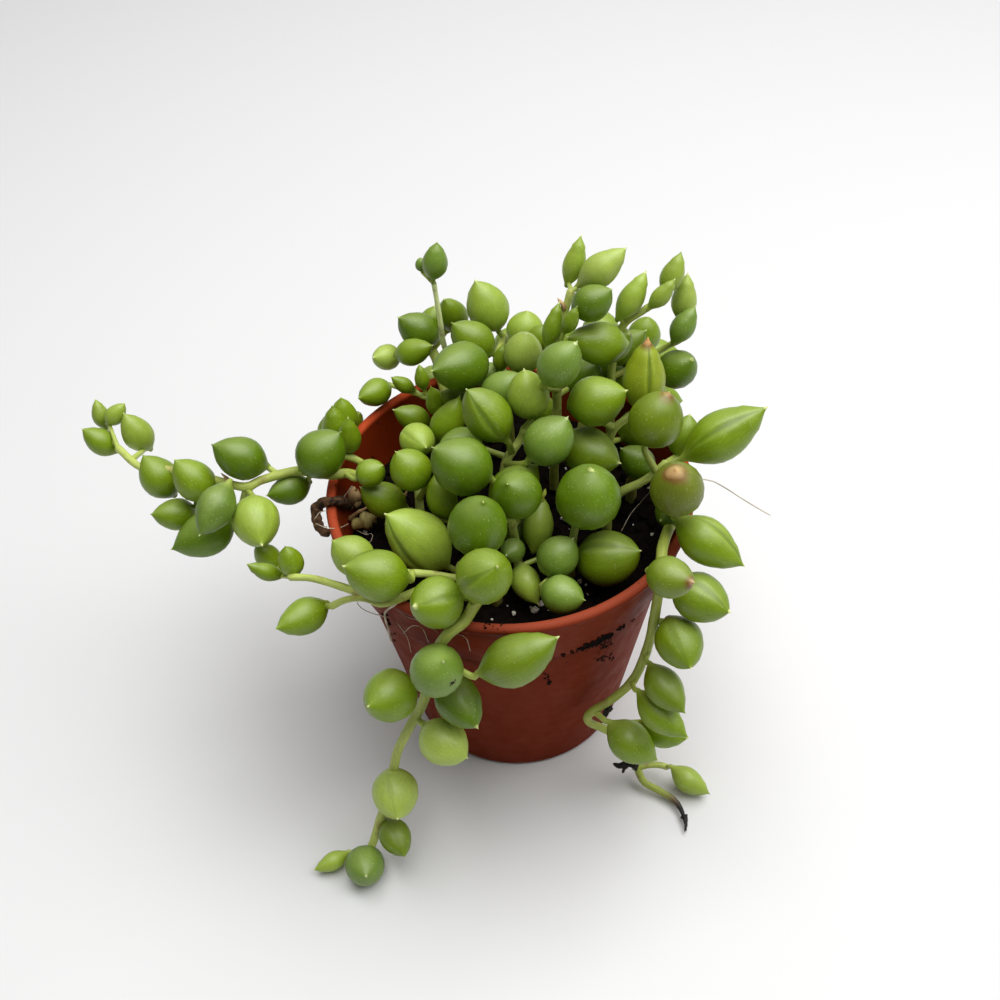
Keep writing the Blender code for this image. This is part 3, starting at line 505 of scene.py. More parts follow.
def foot_of(one, routes):
    """The place on its stem that a leaf's stalk comes from: in line behind its base, above all in the view."""
    base = one.base()

    def apart(place):
        stalk = max(0, min(PETIOLE, (base - place).dot(one.axis)))
        offset = place - base + one.axis * stalk
        depth = offset.dot(one.sight)
        return (offset - one.sight * depth).length + DEPTH_SHARE * abs(depth) + STALK_SHARE * stalk

    return min((place for route in routes for place in route), key=apart)


def wall_radius(height):
    """The middle of the pot's wall at this height."""
    if height > COLLAR_FOOT:
        share = (height - COLLAR_FOOT) / COLLAR_DEPTH
        return COLLAR_FOOT_RADIUS + (RIM_RADIUS - COLLAR_FOOT_RADIUS) * share - WALL / 2
    return BASE_RADIUS + (BODY_TOP_RADIUS - BASE_RADIUS) * max(0, height) / COLLAR_FOOT - WALL / 2


def bounds_push(centre, radius):
    """How far and which way a ball has to move to clear the table, the soil and the pot's wall."""
    across = math.hypot(centre.x, centre.y)
    over_soil = across < BODY_TOP_RADIUS and centre.z > SOIL_TOP - ROOT_STAND
    low = SURFACE_CLEAR + (SOIL_TOP + SOIL_BUMP if over_soil else 0)
    if centre.z - radius < low:
        return Vector((0, 0, low + radius - centre.z))
    height = min(centre.z, POT_HEIGHT - LIP_RADIUS)
    wall = Vector((centre.x, centre.y, 0)).normalized() * wall_radius(height) + Vector((0, 0, height))
    apart = centre - wall
    short = WALL / 2 + radius + WALL_CLEAR - apart.length
    return apart.normalized() * short if short > 0 else Vector()


def settle(stems):
    """Slides leaves along the view's lines of sight until they clear each other, the stems and the pot."""
    leaves = [(stem, one) for stem in stems for one in stem.leaves]
    tubes = {stem.name: [(p, stem.thick / 2) for route in stem.routes for p in along(route, 1.2)] for stem in stems}
    for _ in range(SETTLE_PASSES):
        for i, (stem, one) in enumerate(leaves):
            shift = 0.0
            for other_stem, other in leaves[:i]:
                if (one.middle - other.middle).length > (one.length + other.length) / 2 + CLEAR:
                    continue
                push = slide_apart(one.balls(), other.balls(), one.sight, other_stem is not stem)
                one.middle += one.sight * push / 2
                other.middle -= other.sight * push / 2
            for other_stem in stems:
                if other_stem is not stem:
                    near = [b for b in tubes[other_stem.name] if (b[0] - one.middle).length < one.length]
                    shift += slide_apart(one.balls(), near, one.sight, True)
            for centre, radius in one.balls():
                shift += bounds_push(centre, radius).dot(one.sight)
            one.middle += one.sight * max(-SETTLE_SLIDE, min(SETTLE_SLIDE, shift)) * SETTLE_SHARE
            one.middle += (one.given - one.middle) * SETTLE_RETURN


def slide_apart(balls, others, line, apart_needed):
    """How far to slide the first balls along the line, at the place where they cross the others most."""
    worst, slide = 0.0, 0.0
    gap = CLEAR if apart_needed else -LEAF_OVERLAP
    for centre, radius in balls:
        for other_centre, other_radius in others:
            offset = centre - other_centre
            deep = radius + other_radius + gap - offset.length
            if deep > worst:
                ahead = offset.dot(line)
                side = offset - line * ahead
                needed = math.sqrt(max(0, (radius + other_radius + gap) ** 2 - side.length_squared))
                worst = deep
                slide = needed - ahead if ahead >= 0 else -needed - ahead
    return max(-SETTLE_SLIDE, min(SETTLE_SLIDE, slide))


def fresh_mesh():
    """An empty bmesh with the values that the plant's materials read: the grain and the colours."""
    bm = bmesh.new()
    bm.verts.layers.float_vector.new("grain")
    bm.verts.layers.float_color.new("tint")
    bm.verts.layers.float_color.new("tip_tint")
    return bm


def add_object(name, data):
    """Puts a mesh, lamp or camera in the scene."""
    added = bpy.data.objects.new(name, data)
    bpy.context.scene.collection.objects.link(added)
    return added


def add_mesh(name, bm, materials=()):
    """Puts a bmesh in the scene with its materials."""
    mesh = bpy.data.meshes.new(name)
    bm.to_mesh(mesh)
    bm.free()
    for material in materials:
        mesh.materials.append(material)
    return add_object(name, mesh)


def add_piece(name, bm, materials, stands_for=None, smooth=True):
    """Makes the bmesh a piece of the object that rides on its body, and may stand for one of its nodes."""
    piece = add_mesh(name, bm, materials)
    if smooth:
        piece.data.shade_smooth()
    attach(piece, BODY)
    if stands_for:
        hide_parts(stands_for)
    return piece


def draw_out(bm, sections, sides, facing, tints, tip_tint=(0, 0, 0, 0), form=None, material=0):
    """A sphere whose rings are drawn out along the sections, each a centre and a radius in mm and a share of the way.

    Each section has a tint. The form gives a radius factor for an angle from the facing side and a share.
    """
    last = len(sections) - 1
    grain = bm.verts.layers.float_vector["grain"]
    tint = bm.verts.layers.float_color["tint"]
    tip = bm.verts.layers.float_color["tip_tint"]
    frames = []
    for i in range(last, -1, -1):
        direction = (sections[min(last, i + 1)][0] - sections[max(0, i - 1)][0]).normalized()
        facing = (facing - direction * facing.dot(direction)).normalized()
        frames.insert(0, (facing, direction.cross(facing)))
    verts = bmesh.ops.create_uvsphere(bm, u_segments=sides, v_segments=last, radius=1)["verts"]
    for vert in verts:
        ring = round(math.acos(max(-1, min(1, -vert.co.z))) / math.pi * last)
        centre, radius, share = sections[ring]
        turn = math.atan2(vert.co.y, vert.co.x)
        if form:
            turn -= 0.5 * math.sin(turn)
            radius *= form(turn, share)
        across = frames[ring][0] * math.cos(turn) + frames[ring][1] * math.sin(turn)
        vert.co = (centre + across * radius) * MM
        vert[grain] = (math.cos(turn), math.sin(turn), share)
        vert[tint] = tints[ring]
        vert[tip] = tip_tint
    for face in {face for vert in verts for face in vert.link_faces}:
        face.material_index = material


def leaf_rings(one, foot):
    """Centre, radius and share of each ring of a leaf, down its stalk from the stem and on to its point."""
    base = one.base()
    if (base - foot).dot(one.axis) < 0:
        base += one.axis * 0.12 * one.length
    reach = (base - foot).length
    stalk = min(0.5, 0.2 + 0.042 * one.width)
    in_line = max(0, (base - foot).dot(one.axis))
    lead = foot + (base - foot) * STALK_BEND
    follow = base - one.axis * STALK_BEND * in_line * in_line / reach
    rings = [(foot - (base - foot).normalized() * STALK_INSIDE, 0, -0.3)]
    for t in STALK_SHARES:
        u = 1 - t
        centre = foot * u**3 + lead * (3 * u * u * t) + follow * (3 * u * t * t) + base * t**3
        rings.append((centre, stalk * (1.15 - 0.6 * t + 0.45 * t * t), -0.25 * u))
    slim = max(0, min(1, (one.length / one.width - 1.15) / 0.8))
    side = one.window_side() * LEAF_CURL * one.length
    for share in LEAF_SHARES:
        tipward = share > LEAF_BELLY
        out = abs(share - LEAF_BELLY) / (1 - LEAF_BELLY if tipward else LEAF_BELLY)
        power = 0.88 + 0.22 * slim if tipward else 1.0 + 0.25 * slim
        body = one.width / 2 * max(0, 1 - min(1, out) ** (2.25 - 0.25 * slim)) ** power
        point = max(0, POINT_END - share) * one.length * POINT_WIDTH if share > POINT_START else 0
        neck = stalk * max(0, 1 - share / NECK_END)
        radius = sum(part**OUTLINE_POWER for part in (body, point, neck)) ** (1 / OUTLINE_POWER)
        curl = side * (share - LEAF_BELLY) ** 2
        rings.append((one.middle + one.axis * (share - LEAF_BASE_REACH) * one.length + curl, radius, share))
    tip_share = LEAF_BASE_REACH + LEAF_TIP_REACH
    tip = one.middle + one.axis * LEAF_TIP_REACH * one.length + side * (tip_share - LEAF_BELLY) ** 2
    return [*rings, (tip, 0, tip_share)]


def shade(tint, factor):
    return tuple(part * factor for part in tint[:3])


def add_leaf(bm, one, foot, draw):
    """A leaf on its stalk, with a groove along its window and the small unevenness of a living thing."""
    skin, point = (colour(code) for code in LEAF_COLOURS[one.look])
    clear = max(0.4, min(1, (one.length - 6) / 4.5)) if one.window else draw.uniform(*PLAIN_WINDOW)
    skin = (*shade(skin, draw.uniform(*LEAF_TONE)), clear * WINDOW_STRENGTH)
    blush = BROWN_TIPS.get(one.look, 0) or -draw.uniform(*PALE_TIP)
    seed = draw.uniform(0, 100)
    lumps = LEAF_LUMPS * draw.uniform(0.5, 1)

    def form(turn, share):
        if share < 0.02:
            return 1
        lump = noise.noise(Vector((math.cos(turn) * 0.9, math.sin(turn) * 0.9, share * 1.7 + seed)))
        ends = max(0, 1 - ((share - 0.58) / 0.42) ** 2)
        lip = math.exp(-(((abs(turn) - GROOVE_LIP_TURN) / GROOVE_LIP_WIDTH) ** 2)) * GROOVE_LIP
        groove = math.exp(-((turn / GROOVE_WIDTH) ** 2)) * GROOVE_DEPTH - lip
        flat = FRONT_FLATNESS * (1 + math.cos(turn)) * ends
        return 1 + lumps * lump - groove * ends * (0.35 + 0.65 * clear) - flat

    rings = leaf_rings(one, foot)
    draw_out(bm, rings, LEAF_SIDES, one.window_side(), [skin] * len(rings), (*point[:3], blush), form)


def add_tube(bm, points, thick, thin, tints, draw, knots, dead):
    """A stem through the points, in mm, thinning towards its end, with a slight swelling at each knot.

    The share of it that has died withers to a thread.
    """
    rings = []
    for i, point in enumerate(points):
        radius = (thick + (thin - thick) * i / (len(points) - 1)) / 2
        swell = sum(math.exp(-((point - knot).length / KNOT_REACH) ** 2) for knot in knots)
        uneven = noise.noise(point * 0.35 + Vector((draw.random() * 0.2, 0, 0)))
        if dead:
            radius *= 1 - 0.75 * max(0, 1 - (1 - i / (len(points) - 1)) / (1.6 * dead))
        rings.append((point, radius * (1 + 0.06 * uneven + 0.1 * min(1.3, swell)), i * STEM_STEP))
    first, last = points[0] * 2 - points[1], points[-1] + (points[-1] - points[-2]) * 0.8
    rings = [(first, 0, 0), *rings, (last, 0, len(points) * STEM_STEP)]
    draw_out(bm, rings, STEM_SIDES, Vector((0.3, -1, 0.2)), [tints[0], *tints, tints[-1]], material=1)


def stem_tints(count, rooted_end, young, dead):
    """Stem colours from the older, browner foot to the paler growing end, or to one that has died."""
    # A young stem ends in the sprout colour, which holds painted light as well as the pale of young growth.
    marks = [(0, "foot" if rooted_end else "green"), (0.25, "lit_sprout" if young else "green"),
             (1, "lit_sprout" if young else "end")]
    if dead:
        marks[2:] = [(1 - 2.2 * dead, "green"), (1 - 1.4 * dead, "brown"), (1 - dead, "black"), (1, "black")]
    tints = []
    for i in range(count):
        share = i / (count - 1)
        (low, before), (high, after) = next(pair for pair in zip(marks, marks[1:]) if share <= pair[1][0])
        t = (share - low) / (high - low)
        tints.append(tuple(
            a + (b - a) * t for a, b in zip(colour(STEM_COLOURS[before]), colour(STEM_COLOURS[after]))))
    return tints


def add_stem(stem, materials):
    """One leafy stem in fine: its tube, its side shoots and its leaves, standing for its node."""
    draw = random.Random(f"{FORM_SEED} {stem.name}")
    bm = fresh_mesh()
    routes = [along(route, 1.0) for route in stem.routes]
    feet = [foot_of(one, routes) for one in stem.leaves]
    for i, route in enumerate(stem.routes):
        points = along(route, STEM_STEP)
        thick, thin, dead = stem.thick * LIVING_STEM, stem.thin * LIVING_STEM, stem.dead
        if i > 0:
            thick, thin, dead = thin, SHOOT_THIN, 0
        tints = stem_tints(len(points), i == 0, stem.thin < 1, dead)
        add_tube(bm, points, thick, thin, tints, draw, feet, dead)
    for one, foot in zip(stem.leaves, feet):
        add_leaf(bm, one, foot, draw)
    add_piece(stem.name + "_fine", bm, materials, stem.name)


def turned(profile, steps):
    """A bmesh turned about the pot's axis from (radius, height) points in mm."""
    bm = bmesh.new()
    points = [bm.verts.new((radius * MM, 0, height * MM)) for radius, height in profile]
    edges = [bm.edges.new(pair) for pair in zip(points, points[1:])]
    bmesh.ops.spin(
        bm, geom=points + edges, cent=(0, 0, 0), axis=(0, 0, 1), angle=math.tau, steps=steps, use_merge=True)
    bmesh.ops.remove_doubles(bm, verts=bm.verts, dist=1e-6)
    bmesh.ops.recalc_face_normals(bm, faces=bm.faces)
    return bm


def arc(radius, height, bend, start, end, steps):
    """Profile points on an arc about a centre, from one angle to another in degrees."""
    angles = [math.radians(start + (end - start) * i / steps) for i in range(steps + 1)]
    return [(radius + bend * math.cos(angle), height + bend * math.sin(angle)) for angle in angles]


def add_pot(material):
    """The pot's thin shell, with a floor, a flared collar, a rounded lip and its drain holes."""
    inner, ledge = WALL + BASE_ROUNDING, 0.35
    profile = [
        (0, WALL),
        *arc(BASE_RADIUS - WALL - BASE_ROUNDING, inner, BASE_ROUNDING, 270, 360, 5),
        (BODY_TOP_RADIUS - WALL, COLLAR_FOOT - 0.7),
        (COLLAR_FOOT_RADIUS - WALL, COLLAR_FOOT + 0.7),
        *arc(RIM_RADIUS - LIP_RADIUS, POT_HEIGHT - LIP_RADIUS, LIP_RADIUS, 180, -40, 14),
        (RIM_RADIUS - 0.42, POT_HEIGHT - 1.9),
        (RIM_RADIUS - 0.5, POT_HEIGHT - 2.8),
        *arc(COLLAR_FOOT_RADIUS - ledge, COLLAR_FOOT + ledge, ledge, -10, -90, 5),
        *arc(BODY_TOP_RADIUS + 0.25, COLLAR_FOOT - 0.25, 0.25, 90, 180, 4),
        (BODY_TOP_RADIUS - 0.02, COLLAR_FOOT - 1.0),
        *arc(BASE_RADIUS - BASE_ROUNDING, BASE_ROUNDING, BASE_ROUNDING, 6, -90, 7),
        (0, 0),
    ]
    pot = add_piece("pot_fine", turned(profile, POT_STEPS), [material], "pot")
    for i in range(DRAIN_HOLES):
        turn = math.tau * (i + 0.43) / DRAIN_HOLES
        bm = bmesh.new()
        x, y = DRAIN_RING_RADIUS * math.cos(turn) * MM, DRAIN_RING_RADIUS * math.sin(turn) * MM
        bmesh.ops.create_cone(
            bm, cap_ends=True, segments=32, radius1=DRAIN_RADIUS * MM, radius2=DRAIN_RADIUS * MM,
            depth=6 * WALL * MM, matrix=Matrix.Translation((x, y, 0)))
        cut(pot, bm)
    pot.data.set_sharp_from_angle(angle=math.radians(35))


def cut(piece, bm):
    """Takes the closed shape out of the piece."""
    cutter = add_mesh("cutter", bm)
    change = piece.modifiers.new("cut", "BOOLEAN")
    change.operation = "DIFFERENCE"
    change.object = cutter
    bpy.context.view_layer.update()
    piece.data = bpy.data.meshes.new_from_object(piece.evaluated_get(bpy.context.evaluated_depsgraph_get()))
    piece.modifiers.clear()
    bpy.data.objects.remove(cutter)


def soil_height(x, y):
    """The soil's loose top: the same long waves as the solid's, with clods and crumbs on them, in mm."""
    wave = math.sin(0.31 * x + 0.7) * math.cos(0.27 * y - 0.4) + 0.6 * math.sin(0.62 * x - 0.55 * y)
    clods = 0.5 * noise.noise(Vector((x * 0.55, y * 0.55, 3))) + 0.3 * noise.noise(Vector((x * 1.4, y * 1.4, 8)))
    return SOIL_TOP + SOIL_BUMP * wave / 1.6 + clods


def add_soil(material):
    """The soil that fills the pot, with an uneven top."""
    edge = wall_radius(SOIL_TOP) - WALL / 2 - 0.05
    profile = [(edge * ring / SOIL_RINGS, SOIL_TOP) for ring in range(SOIL_RINGS + 1)] + [
        (BODY_TOP_RADIUS - WALL - SOIL_GAP, COLLAR_FOOT - 1.2),
        (BASE_RADIUS - WALL - SOIL_GAP, WALL + BASE_ROUNDING + 1),
        (BASE_RADIUS - WALL - BASE_ROUNDING - SOIL_GAP, WALL + SOIL_GAP),
        (0, WALL + SOIL_GAP),
    ]
    bm = turned(profile, SOIL_STEPS)
    for vert in bm.verts:
        if vert.co.z > (SOIL_TOP - 0.1) * MM:
            vert.co.z = soil_height(vert.co.x / MM, vert.co.y / MM) * MM
    add_piece("soil_fine", bm, [material], "soil")


def add_lumps(name, lumps, material, draw):
    """Many small uneven lumps, each a centre in mm and a size, as one piece."""
    bm = bmesh.new()
    for centre, size in lumps:
        shift = Vector((draw.uniform(0, 50), draw.uniform(0, 50), draw.uniform(0, 50)))
        shape = Vector((draw.uniform(0.7, 1.15), draw.uniform(0.7, 1.15), draw.uniform(0.55, 0.9))) * size / 2
        turn = draw.uniform(0, math.tau)
        spin = Matrix.Rotation(turn, 3, Vector((draw.random(), draw.random(), draw.random() + 0.2)))
        fine = 2 if size > 0.9 else 1
        for vert in bmesh.ops.create_icosphere(bm, subdivisions=fine, radius=1)["verts"]:
            rough = 1 + 0.45 * noise.noise(vert.co * 1.3 + shift)
            vert.co = (centre + spin @ Vector(a * b * rough for a, b in zip(vert.co, shape))) * MM
    add_piece(name, bm, [material], smooth=False)


def feed(added, inputs):
    """Fills a node's inputs, by name or in their order, with values, sockets or other nodes' main outputs."""
    if not isinstance(inputs, dict):
        inputs = dict(zip((i for i, socket in enumerate(added.inputs) if socket.enabled), inputs))
    for key, value in inputs.items():
        if isinstance(value, bpy.types.Node):
            value = next(output for output in value.outputs if output.enabled)
        if isinstance(value, bpy.types.NodeSocket):
            added.id_data.links.new(value, added.inputs[key])
        else:
            added.inputs[key].default_value = value


def node(tree, kind, inputs=(), **settings):
    """Adds a shader node with its settings and inputs. A MapRange has its value, then from and to what it ranges."""
    added = tree.nodes.new("ShaderNode" + kind)
    for name, value in settings.items():
        setattr(added, name, value)
    feed(added, inputs)
    return added


def blank(name, **values):
    """A material, its shader with these constant values, and the call that adds a node to it."""
    material = bpy.data.materials.new(name)
    material.use_nodes = True
    shader = material.node_tree.nodes["Principled BSDF"]
    feed(shader, {socket.replace("_", " "): value for socket, value in values.items()})
    return material, shader, functools.partial(node, material.node_tree)


def leaf_skin():
    # A living succulent leaf. Its smooth skin under a thin bloom of wax gives broad, soft highlights; on top of that
    # its upward-facing parts are painted paler, a painted highlight for the light from above, and the raised lips
    # beside its window carry a painted highlight too. Fine pale fibres run from base to tip, with small pale flecks
    # between them, and light enters a little.
    # Patterns in a metre: 240 is mottling of 4 mm, 420 patches of 2 mm, 1900 flecks half a millimetre apart, and
    # 7000 its pores, drawn coarser than they are.
    material, shader, add = blank(
        "succulent leaf, living, under a bloom of wax",
        Roughness=0.4, IOR=1.45, Specular_IOR_Level=0.55,
        Subsurface_Weight=0.15, Subsurface_Radius=(1.0, 1.0, 0.1), Subsurface_Scale=0.0012,
    )
    place = add("TexCoord").outputs["Object"]
    tint = add("Attribute", attribute_name="tint")
    tip = add("Attribute", attribute_name="tip_tint")
    grain = add("Attribute", attribute_name="grain").outputs["Vector"]
    facing, aside, share = add("SeparateXYZ", [grain]).outputs
    mottle = add("TexNoise", {"Vector": place, "Scale": 240, "Detail": 3})
    fibre_lie = add("VectorMath", [grain, (17, 17, 6)], operation="MULTIPLY")
    fibre = add("TexNoise", {"Vector": fibre_lie, "W": tip.outputs["Alpha"], "Scale": 1.6, "Detail": 4},
                noise_dimensions="4D")
    light = add("MapRange", [mottle, 0.3, 0.7, 0.9, 1.1])
    lines = add("MapRange", [fibre, 0.35, 0.68, 0.86, 1.1])
    both = add("Math", [light, lines], operation="MULTIPLY")
    pores = add("TexNoise", {"Vector": place, "Scale": 7000, "Detail": 2})
    stipple = add("MapRange", [pores, 0.35, 0.65, 0.93, 1.07])
    all_three = add("Math", [both, stipple], operation="MULTIPLY")
    skin = add("VectorMath", [tint, all_three], operation="SCALE")
    cells = add("TexVoronoi", {"Vector": place, "Scale": 1900, "Randomness": 1.0})
    dots = add("MapRange", [cells, 0.1, 0.22, 0.32, 0])
    patch = add("TexNoise", {"Vector": place, "Scale": 420, "Detail": 2})
    where = add("MapRange", [patch, 0.4, 0.56])
    flecks = add("Math", [dots, where], operation="MULTIPLY")
    flecked = add("Mix", [flecks, skin, colour("#CCD894")], data_type="RGBA")
    width = add("MapRange", [share, 0.1, 0.6, 0.0, 0.14])
    beside = add("Math", [aside], operation="ABSOLUTE")
    inside = add("Math", [width, beside], operation="SUBTRACT")
    front = add("MapRange", [facing, 0.2, 0.6])
    band = add("MapRange", [inside, -0.04, 0.1])
    shown = add("Math", [front, tint.outputs["Alpha"]], operation="MULTIPLY")
    window = add("Math", [band, shown], operation="MULTIPLY")
    # Painted highlight: pale lines along the raised lips on both sides of the window.
    past = add("Math", [inside, 0.1], operation="ADD")
    off = add("Math", [past], operation="ABSOLUTE")
    lip = add("MapRange", [off, 0, 0.09, 0.16, 0])
    painted_lip_highlight = add("Math", [lip, shown], operation="MULTIPLY")
    edged = add("Mix", [painted_lip_highlight, flecked, colour("#BCCB7E")], data_type="RGBA")
    glazed = add("Mix", [window, edged, colour("#4E661E")], data_type="RGBA")
    stalk = add("MapRange", [share, -0.06, 0.16, 0.85, 0])
    based = add("Mix", [stalk, glazed, colour("#B2C05A")], data_type="RGBA")
    edge = add("MapRange", [mottle, 0.3, 0.7, -0.03, 0.03])
    wavy = add("Math", [share, edge], operation="ADD")
    reach = add("Math", [tip.outputs["Alpha"]], operation="ABSOLUTE")
    start = add("Math", [1.02, reach], operation="SUBTRACT")
    blush = add("MapRange", [wavy, start, 1.01, 0, 0.9])
    past_start = add("Math", [wavy, start], operation="SUBTRACT")
    near_tip = add("MapRange", [past_start, -0.055, 0, 0, 0.9])
    brown_tip = add("MapRange", [tip.outputs["Alpha"], 0.0, 0.01])
    ringed = add("Math", [near_tip, brown_tip], operation="MULTIPLY")
    browned = add("Mix", [ringed, based, colour("#74441A")], data_type="RGBA")
    tipped = add("Mix", [blush, browned, tip], data_type="RGBA")
    # Painted highlight: parts that face up are mixed towards a pale green, standing in for the light from above.
    upward = add("SeparateXYZ", [add("NewGeometry").outputs["Normal"]])
    painted_top_light = add("MapRange", [upward.outputs["Z"], 0.62, 1.0, 0, 0.24])
    top_lit_skin = add("Mix", [painted_top_light, tipped, colour("#BCCB7C")], data_type="RGBA")
    bump = add("Bump", {"Strength": 0.15, "Distance": 0.0001, "Height": fibre})
    feed(shader, {"Base Color": top_lit_skin, "Normal": bump})
    return material


def stem_skin():
    # A young succulent stem: soft and matt, olive to pale green, with brownish scars where leaves fell.
    material, shader, add = blank(
        "succulent stem, soft green", Roughness=0.5, IOR=1.42,
        Subsurface_Weight=0.14, Subsurface_Radius=(1.0, 1.0, 0.2), Subsurface_Scale=0.0008,
    )
    place = add("TexCoord").outputs["Object"]
    tint = add("Attribute", attribute_name="tint")
    grain = add("Attribute", attribute_name="grain").outputs["Vector"]
    lie = add("VectorMath", [grain, (3.5, 3.5, 0.35)], operation="MULTIPLY")
    fibre = add("TexNoise", {"Vector": lie, "Scale": 2.0, "Detail": 3})
    lines = add("MapRange", [fibre, 0.3, 0.7, 0.8, 1.2])
    skin = add("VectorMath", [tint, lines], operation="SCALE")
    patch = add("TexNoise", {"Vector": place, "Scale": 420, "Detail": 4})
    scar = add("MapRange", [patch, 0.58, 0.7, 0, 0.6])
    scarred = add("Mix", [scar, skin, colour("#8A6B45")], data_type="RGBA")
    bump = add("Bump", {"Strength": 0.4, "Distance": 0.0001, "Height": fibre})
    feed(shader, {"Base Color": scarred, "Normal": bump})
    return material


def pot_plastic():
    # Injection-moulded polypropylene, coloured through: a satin shell that soil and dust have dulled, most of all
    # under the collar's ledge and along the soil line inside. Light and shade are painted on it as well: the lip is
    # painted a far brighter red than the body, brighter still at the back, and a band of painted shade lies under the
    # collar's ledge.
    material, shader, add = blank(
        "polypropylene, injection moulded, terracotta red", Roughness=0.5, IOR=1.49, Specular_IOR_Level=0.05)
    place = add("TexCoord").outputs["Object"]
    _, depth, height = add("SeparateXYZ", [place]).outputs
    cloud = add("TexNoise", {"Vector": place, "Scale": 140, "Detail": 4})
    # Painted shade: the body's reds are kept far darker than the lip's, as the shaded copy of the pot's colour.
    plain = add("Mix", [cloud, colour("#6A2208"), colour("#78290C")], data_type="RGBA")
    film = add("TexNoise", {"Vector": place, "Scale": 330, "Detail": 6, "Roughness": 0.65})
    low = add("MapRange", [height, 0.049, 0.0465, 0, 1])
    dusty = add("MapRange", [film, 0.42, 0.72, 0, 0.22])
    dust = add("Math", [dusty, low], operation="MULTIPLY")
    filmed = add("Mix", [dust, plain, colour("#4A1C0C")], data_type="RGBA")
    # Painted light: the lip is painted a far brighter red than the body, and brighter still towards the back; the two
    # reds stand for the lit lip and the shaded body of one plastic.
    rim = add("MapRange", [height, 0.0492, 0.0498])
    behind = add("MapRange", [depth, -0.016, 0.008])
    lip = add("Mix", [behind, colour("#90402A"), colour("#B84A28")], data_type="RGBA")
    painted_lit_lip = add("Mix", [rim, filmed, lip], data_type="RGBA")
    # Painted shade: a dark band on the body just under the collar's ledge.
    upper = add("MapRange", [height, 0.0365, 0.039])
    under = add("MapRange", [height, 0.0396, 0.0393])
    ledge = add("Math", [upper, under], operation="MULTIPLY")
    shaded = add("Math", [ledge, 0.7], operation="MULTIPLY")
    edged = add("Mix", [shaded, painted_lit_lip, colour("#341206")], data_type="RGBA")
    speck = add("TexNoise", {"Vector": place, "Scale": 900, "Detail": 4, "Roughness": 0.7})
    near = add("MapRange", [height, 0.026, 0.0365, 0.73, 0.64])
    mud = add("Math", [speck, near], operation="SUBTRACT")
    spots = add("MapRange", [mud, 0, 0.03])
    muddy = add("Mix", [spots, edged, colour("#24150E")], data_type="RGBA")
    gloss = add("MapRange", [film, 0.35, 0.7, 0.42, 0.66])
    bump = add("Bump", {"Strength": 0.15, "Distance": 0.0001, "Height": film})
    feed(shader, {"Base Color": muddy, "Roughness": gloss, "Normal": bump})
    return material


def peat():
    # Damp peat: nearly black crumbs and fibres with a matt, broken surface.
    material, shader, add = blank("peat potting soil, damp", Roughness=0.95, IOR=1.35, Specular_IOR_Level=0.2)
    place = add("TexCoord").outputs["Object"]
    clod = add("TexNoise", {"Vector": place, "Scale": 900, "Detail": 6, "Roughness": 0.7})
    tone = add("MapRange", [clod, 0.35, 0.75])
    brown = add("Mix", [tone, colour("#050303"), colour("#1C120C")], data_type="RGBA")
    bump = add("Bump", {"Strength": 0.9, "Distance": 0.0004, "Height": clod})
    feed(shader, {"Base Color": brown, "Normal": bump})
    return material


def grit(name):
    """A dry, matt material that wavers between its two colours."""
    dark, pale, scale, rough = GRITS[name]
    material, shader, add = blank(name, Roughness=rough, IOR=1.4)
    place = add("TexCoord").outputs["Object"]
    cloud = add("TexNoise", {"Vector": place, "Scale": scale, "Detail": 4})
    tone = add("MapRange", [cloud, 0.35, 0.65])
    mixed = add("Mix", [tone, colour(dark), colour(pale)], data_type="RGBA")
    bump = add("Bump", {"Strength": 0.6, "Distance": 0.0002, "Height": cloud})
    feed(shader, {"Base Color": mixed, "Normal": bump})
    return material


def on_pot(x, y, out=0.0):
    """The point that shows at pixel x, y this far outside the pot's outer side, in mm."""
    point = seen(x, y, POT_HEIGHT)
    while point.z > 0 and math.hypot(point.x, point.y) > wall_radius(point.z) + WALL / 2 + out:
        point += sight(x, y) * 0.1
    return point


def add_threads(name, threads, material, step=THREAD_STEP, sides=10, rough=0.6):
    """Tapered threads, each a route that starts on what carries it and its two thicknesses in mm."""
    def form(turn, share):
        return 1 + rough / 2 * noise.noise(Vector((math.cos(turn) * 1.6, math.sin(turn) * 1.6, share * 0.5)))

    bm = fresh_mesh()
    for route, thick, thin in threads:
        points = along(route, step)
        rings = [(points[0] * 2 - points[1], 0, 0)]
        for i, point in enumerate(points):
            width = thick + (thin - thick) * i / (len(points) - 1)
            rings.append((point, width / 2 * (1 + rough * noise.noise(point * 1.7)), i))
        rings.append((points[-1] * 2 - points[-2], 0, len(points)))
        plain = [(0, 0, 0, 1)] * len(rings)
        draw_out(bm, rings, sides, Vector((0.2, 0.3, 1)), plain, form=form if rough else None)
    add_piece(name, bm, [material])


